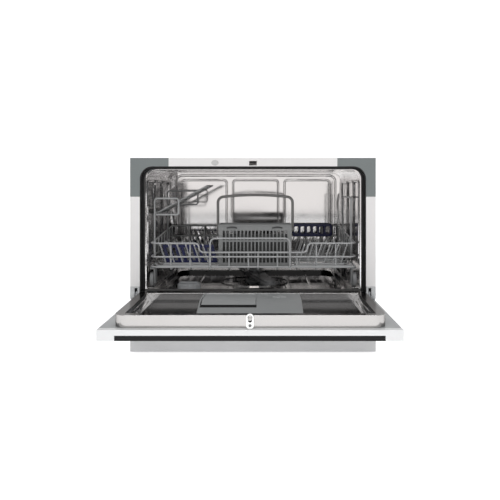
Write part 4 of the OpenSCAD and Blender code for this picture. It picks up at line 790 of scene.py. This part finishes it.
# Painted shadow: thin black strips, in front of the lid and along its left side, for the gap under
# its lip
lid_shadow = rubber("lid_painted_shadow", (0.004, 0.004, 0.004), 0.6)
shadow_strip_height = 0.0012
lid_middle_x = (lid_low.x + lid_high.x) / 2
lid_width = lid_high.x - lid_low.x
strips = []
for x, y, size in ((lid_middle_x, lid_low.y - 0.0066, (lid_width + 0.004, 0.0128)),
                   (lid_low.x - 0.0012, lid_low.y + 0.006, (0.0020, 0.0170))):
    fall = (y - lid_low.y) * slope_drop / slope_run
    bpy.ops.mesh.primitive_cube_add(size=1.0, location=(x, y, lid_low.z + 0.0018 + fall),
                                    rotation=(slope_angle, 0.0, 0.0))
    bpy.context.object.scale = (*size, shadow_strip_height)
    bpy.ops.object.transform_apply(location=False, rotation=False, scale=True)
    strips.append(bpy.context.object)
join(strips)
shaped("lid_shadow_strips", lid_shadow, "door", bevel=0.0004)
cap_pale = coated("cap_pale", (0.48, 0.49, 0.49), (0.44, 0.45, 0.45), 0.4, grain=0.1)
dress(["rinse_cap"], cap_pale)

# ------------------------------------------------------------------ rack
# Steel wires, bent and spot welded, then dipped in grey nylon. The coat is thick and soft, and
# pools at the welds.
nylon_grey = coated("nylon_grey", (0.47, 0.475, 0.48), (0.40, 0.41, 0.415), 0.32,
                    grain=0.1, edge=0.0009, scale=40.0, amount=0.5)
dress(["rack_front", "rack_rear", "rack_sides", "rack_floor", "rack_tines", "shelf_bracket"],
      nylon_grey)


def wires_of(name):
    """The separate wires of a solid node, each as the list of its corner points."""
    bpy.ops.object.select_all(action="DESELECT")
    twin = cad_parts[name].copy()
    twin.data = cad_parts[name].data.copy()
    twin.modifiers.clear()
    bpy.context.scene.collection.objects.link(twin)
    bpy.context.view_layer.objects.active = twin
    twin.select_set(True)
    bpy.ops.object.mode_set(mode="EDIT")
    bpy.ops.mesh.select_all(action="SELECT")
    bpy.ops.mesh.remove_doubles(threshold=0.00001)
    bpy.ops.mesh.separate(type="LOOSE")
    bpy.ops.object.mode_set(mode="OBJECT")
    loose = list(bpy.context.selected_objects)
    wires = [[vertex.co.copy() for vertex in part.data.vertices] for part in loose]
    for part in loose:
        bpy.data.meshes.remove(part.data)
    return wires


# Paler rounded tips where each tine was dipped twice
nylon_pale = coated("nylon_pale", (0.62, 0.62, 0.61), (0.52, 0.52, 0.52), 0.3, grain=0.08,
                    scale=60.0)
tip_r = 0.0020
tip_stretch = 2.1
end_slice = 0.0016
shortest_tine = 0.02
tip_places = []
for points in wires_of("rack_tines"):
    low_z = min(point.z for point in points)
    high_z = max(point.z for point in points)
    if high_z - low_z < shortest_tine:
        continue
    top = [point for point in points if point.z > high_z - end_slice]
    foot = [point for point in points if point.z < low_z + end_slice]
    end = sum(top, Vector()) / len(top)
    lean = (end - sum(foot, Vector()) / len(foot)).normalized()
    tip_places.append((end - lean * 0.0022, lean.to_track_quat("Z", "Y").to_euler()))
bpy.ops.mesh.primitive_uv_sphere_add(segments=12, ring_count=8, radius=tip_r)
tip = bpy.context.object
for vertex in tip.data.vertices:
    narrowing = 1.0 - 60.0 * max(0.0, -vertex.co.z)
    vertex.co = (vertex.co.x * narrowing, vertex.co.y * narrowing, vertex.co.z * tip_stretch)
join(copies(tip, tip_places))
shaped("tine_tips", nylon_pale, "rack")


def reach(points, axis):
    """How far a wire's points reach along an axis."""
    return max(point[axis] for point in points) - min(point[axis] for point in points)


# Beads of coating over the spot welds, where the long floor wires cross the cross wires
bead_r = 0.0026
floor_wires = wires_of("rack_floor")
weld_places = []
for long_wire in (points for points in floor_wires if reach(points, 1) > 0.05):
    for cross_wire in (points for points in floor_wires if reach(points, 0) > 0.05):
        x = sum(point.x for point in long_wire) / len(long_wire)
        y = sum(point.y for point in cross_wire) / len(cross_wire)
        z = (max(point.z for point in long_wire) + min(point.z for point in cross_wire)) / 2
        weld_places.append(((x, y, z), (0.0, 0.0, 0.0)))
bpy.ops.mesh.primitive_uv_sphere_add(segments=10, ring_count=6, radius=bead_r)
bead = bpy.context.object
for vertex in bead.data.vertices:
    spread = 1.0 + 0.15 * abs(vertex.co.y) / bead_r
    vertex.co = (vertex.co.x, vertex.co.y * spread, vertex.co.z * 0.6)
join(copies(bead, weld_places))
shaped("weld_beads", nylon_grey, "rack")

# ------------------------------------------------------------------ inserts in the rack
# Navy blue polypropylene strips: a comb for cups on the left and a windowed rest at the rear
# right. Both are moulded with hooks that snap over the rack's wires.
navy = coated("navy_moulding", (0.012, 0.016, 0.09), (0.02, 0.024, 0.12), 0.34, grain=0.08)
dress(["rear_insert", "cup_insert"], navy)

# ------------------------------------------------------------------ rollers
# Grey acetal wheels turn on pins of moulded carriers, which are clipped under the rack's sides
# and roll on the rails of the tub floor.
roller_grey = coated("roller_grey", (0.27, 0.275, 0.28), (0.24, 0.245, 0.25), 0.45, grain=0.1)
dress(["roller_brackets", "front_rollers", "rear_rollers"], roller_grey)

# ------------------------------------------------------------------ cutlery basket and handle
# Grey polypropylene: slotted walls round dividers, and a bail handle whose eyes snap on to pins at
# the basket's ends. The dividers are a darker grey, as painted shade inside the basket.
basket_grey = coated("basket_grey", (0.265, 0.27, 0.27), (0.225, 0.23, 0.23), 0.45, grain=0.15)
dress(["cutlery_basket", "cutlery_handle"], basket_grey)
# Painted shade: the dividers are darker than the basket's own plastic, for the shade inside it
shaded_divider_grey = coated("shaded_divider_grey", (0.10, 0.102, 0.102), (0.13, 0.132, 0.132), 0.5, grain=0.15)
dress(["basket_dividers"], shaded_divider_grey)

# The bail is moulded with a slight arch, so it stands for the solid's straight bar
bail_grey = coated("bail_grey", (0.20, 0.195, 0.19), (0.17, 0.165, 0.16), 0.42, grain=0.12)
bail_low, bail_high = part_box("cutlery_handle")
bail_r = 0.0032
bail_corner_r = 0.014
bail_rise = 0.0042
eye_r = bail_r + 0.0016
pin_r = 0.0025
pin_length = 0.0040
bail_x = (bail_low.x + bail_high.x) / 2
bail_y = (bail_low.y + bail_high.y) / 2
bail_half = (bail_high.x - bail_low.x) / 2 - bail_r - 0.0003
pin_z = bail_low.z + eye_r
top_z = bail_high.z - bail_r
corner_steps = 8
arch_steps = 16
route = [(-bail_half, pin_z)]
for step in range(corner_steps + 1):
    turn = math.radians(90.0 * step / corner_steps)
    route.append((-bail_half + bail_corner_r * (1 - math.cos(turn)),
                  top_z - bail_rise - bail_corner_r * (1 - math.sin(turn))))
for step in range(1, arch_steps):
    across = 2 * step / arch_steps - 1
    route.append(((bail_half - bail_corner_r) * across, top_z - bail_rise * across ** 2))
route += [(-x, z) for x, z in reversed(route[:corner_steps + 2])]
bpy.ops.curve.primitive_nurbs_path_add()
bail = bpy.context.object
bail.data.splines.clear()
spline = bail.data.splines.new("POLY")
spline.points.add(len(route) - 1)
for point, (x, z) in zip(spline.points, route):
    point.co = (bail_x + x, bail_y, z, 1.0)
bail.location = (0.0, 0.0, 0.0)
bail.data.bevel_depth = bail_r
bail.data.bevel_resolution = 5
bail.data.use_fill_caps = True
bpy.ops.object.convert(target="MESH")
parts = [bpy.context.object]
for side in (-1, 1):
    eye_x = bail_x + side * bail_half
    pin_x = bail_x + side * (bail_half - bail_r - 0.0023)
    parts.append(disc((eye_x, bail_y, pin_z), eye_r, 2 * bail_r + 0.0006, (side, 0.0, 0.0),
                      inset=0.0014, sink=0.0006))
    parts.append(disc((pin_x, bail_y, pin_z), pin_r, pin_length, (side, 0.0, 0.0)))
join(parts)
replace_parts(shaped("arched_bail", bail_grey, "handle"), "cutlery_handle")

# Two snap tabs on the front rim of the basket, each with a slight sag at its ends
basket_low, basket_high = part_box("cutlery_basket")
tab_dark = coated("tab_dark", (0.045, 0.046, 0.047), (0.07, 0.071, 0.072), 0.5, grain=0.1)
tab_half = 0.012
tab_sag = 0.0016
for name, tab_x in (("left", -0.0495), ("right", 0.0552)):
    bpy.ops.mesh.primitive_cube_add(size=1.0)
    bpy.context.object.scale = (2 * tab_half, 0.0012, 0.0034)
    bpy.ops.object.transform_apply(location=False, rotation=False, scale=True)
    bpy.ops.object.mode_set(mode="EDIT")
    bpy.ops.mesh.select_all(action="SELECT")
    bpy.ops.mesh.subdivide(number_cuts=3)
    bpy.ops.object.mode_set(mode="OBJECT")
    for vertex in bpy.context.object.data.vertices:
        vertex.co.z -= tab_sag * (vertex.co.x / tab_half) ** 2
    bpy.context.object.location = (tab_x, basket_low.y - 0.0004, basket_high.z - 0.0062)
    shaped("basket_tab_" + name, tab_dark, "basket", bevel=0.0003)

# ------------------------------------------------------------------ cup shelf
# A slotted shelf of the same plastic as the basket, moulded with open clips that hold it on the
# hinge rod of its wire bracket.
shelf_grey = coated("shelf_grey", (0.37, 0.375, 0.375), (0.31, 0.315, 0.315), 0.42, grain=0.15)
dress(["cup_shelf"], shelf_grey)
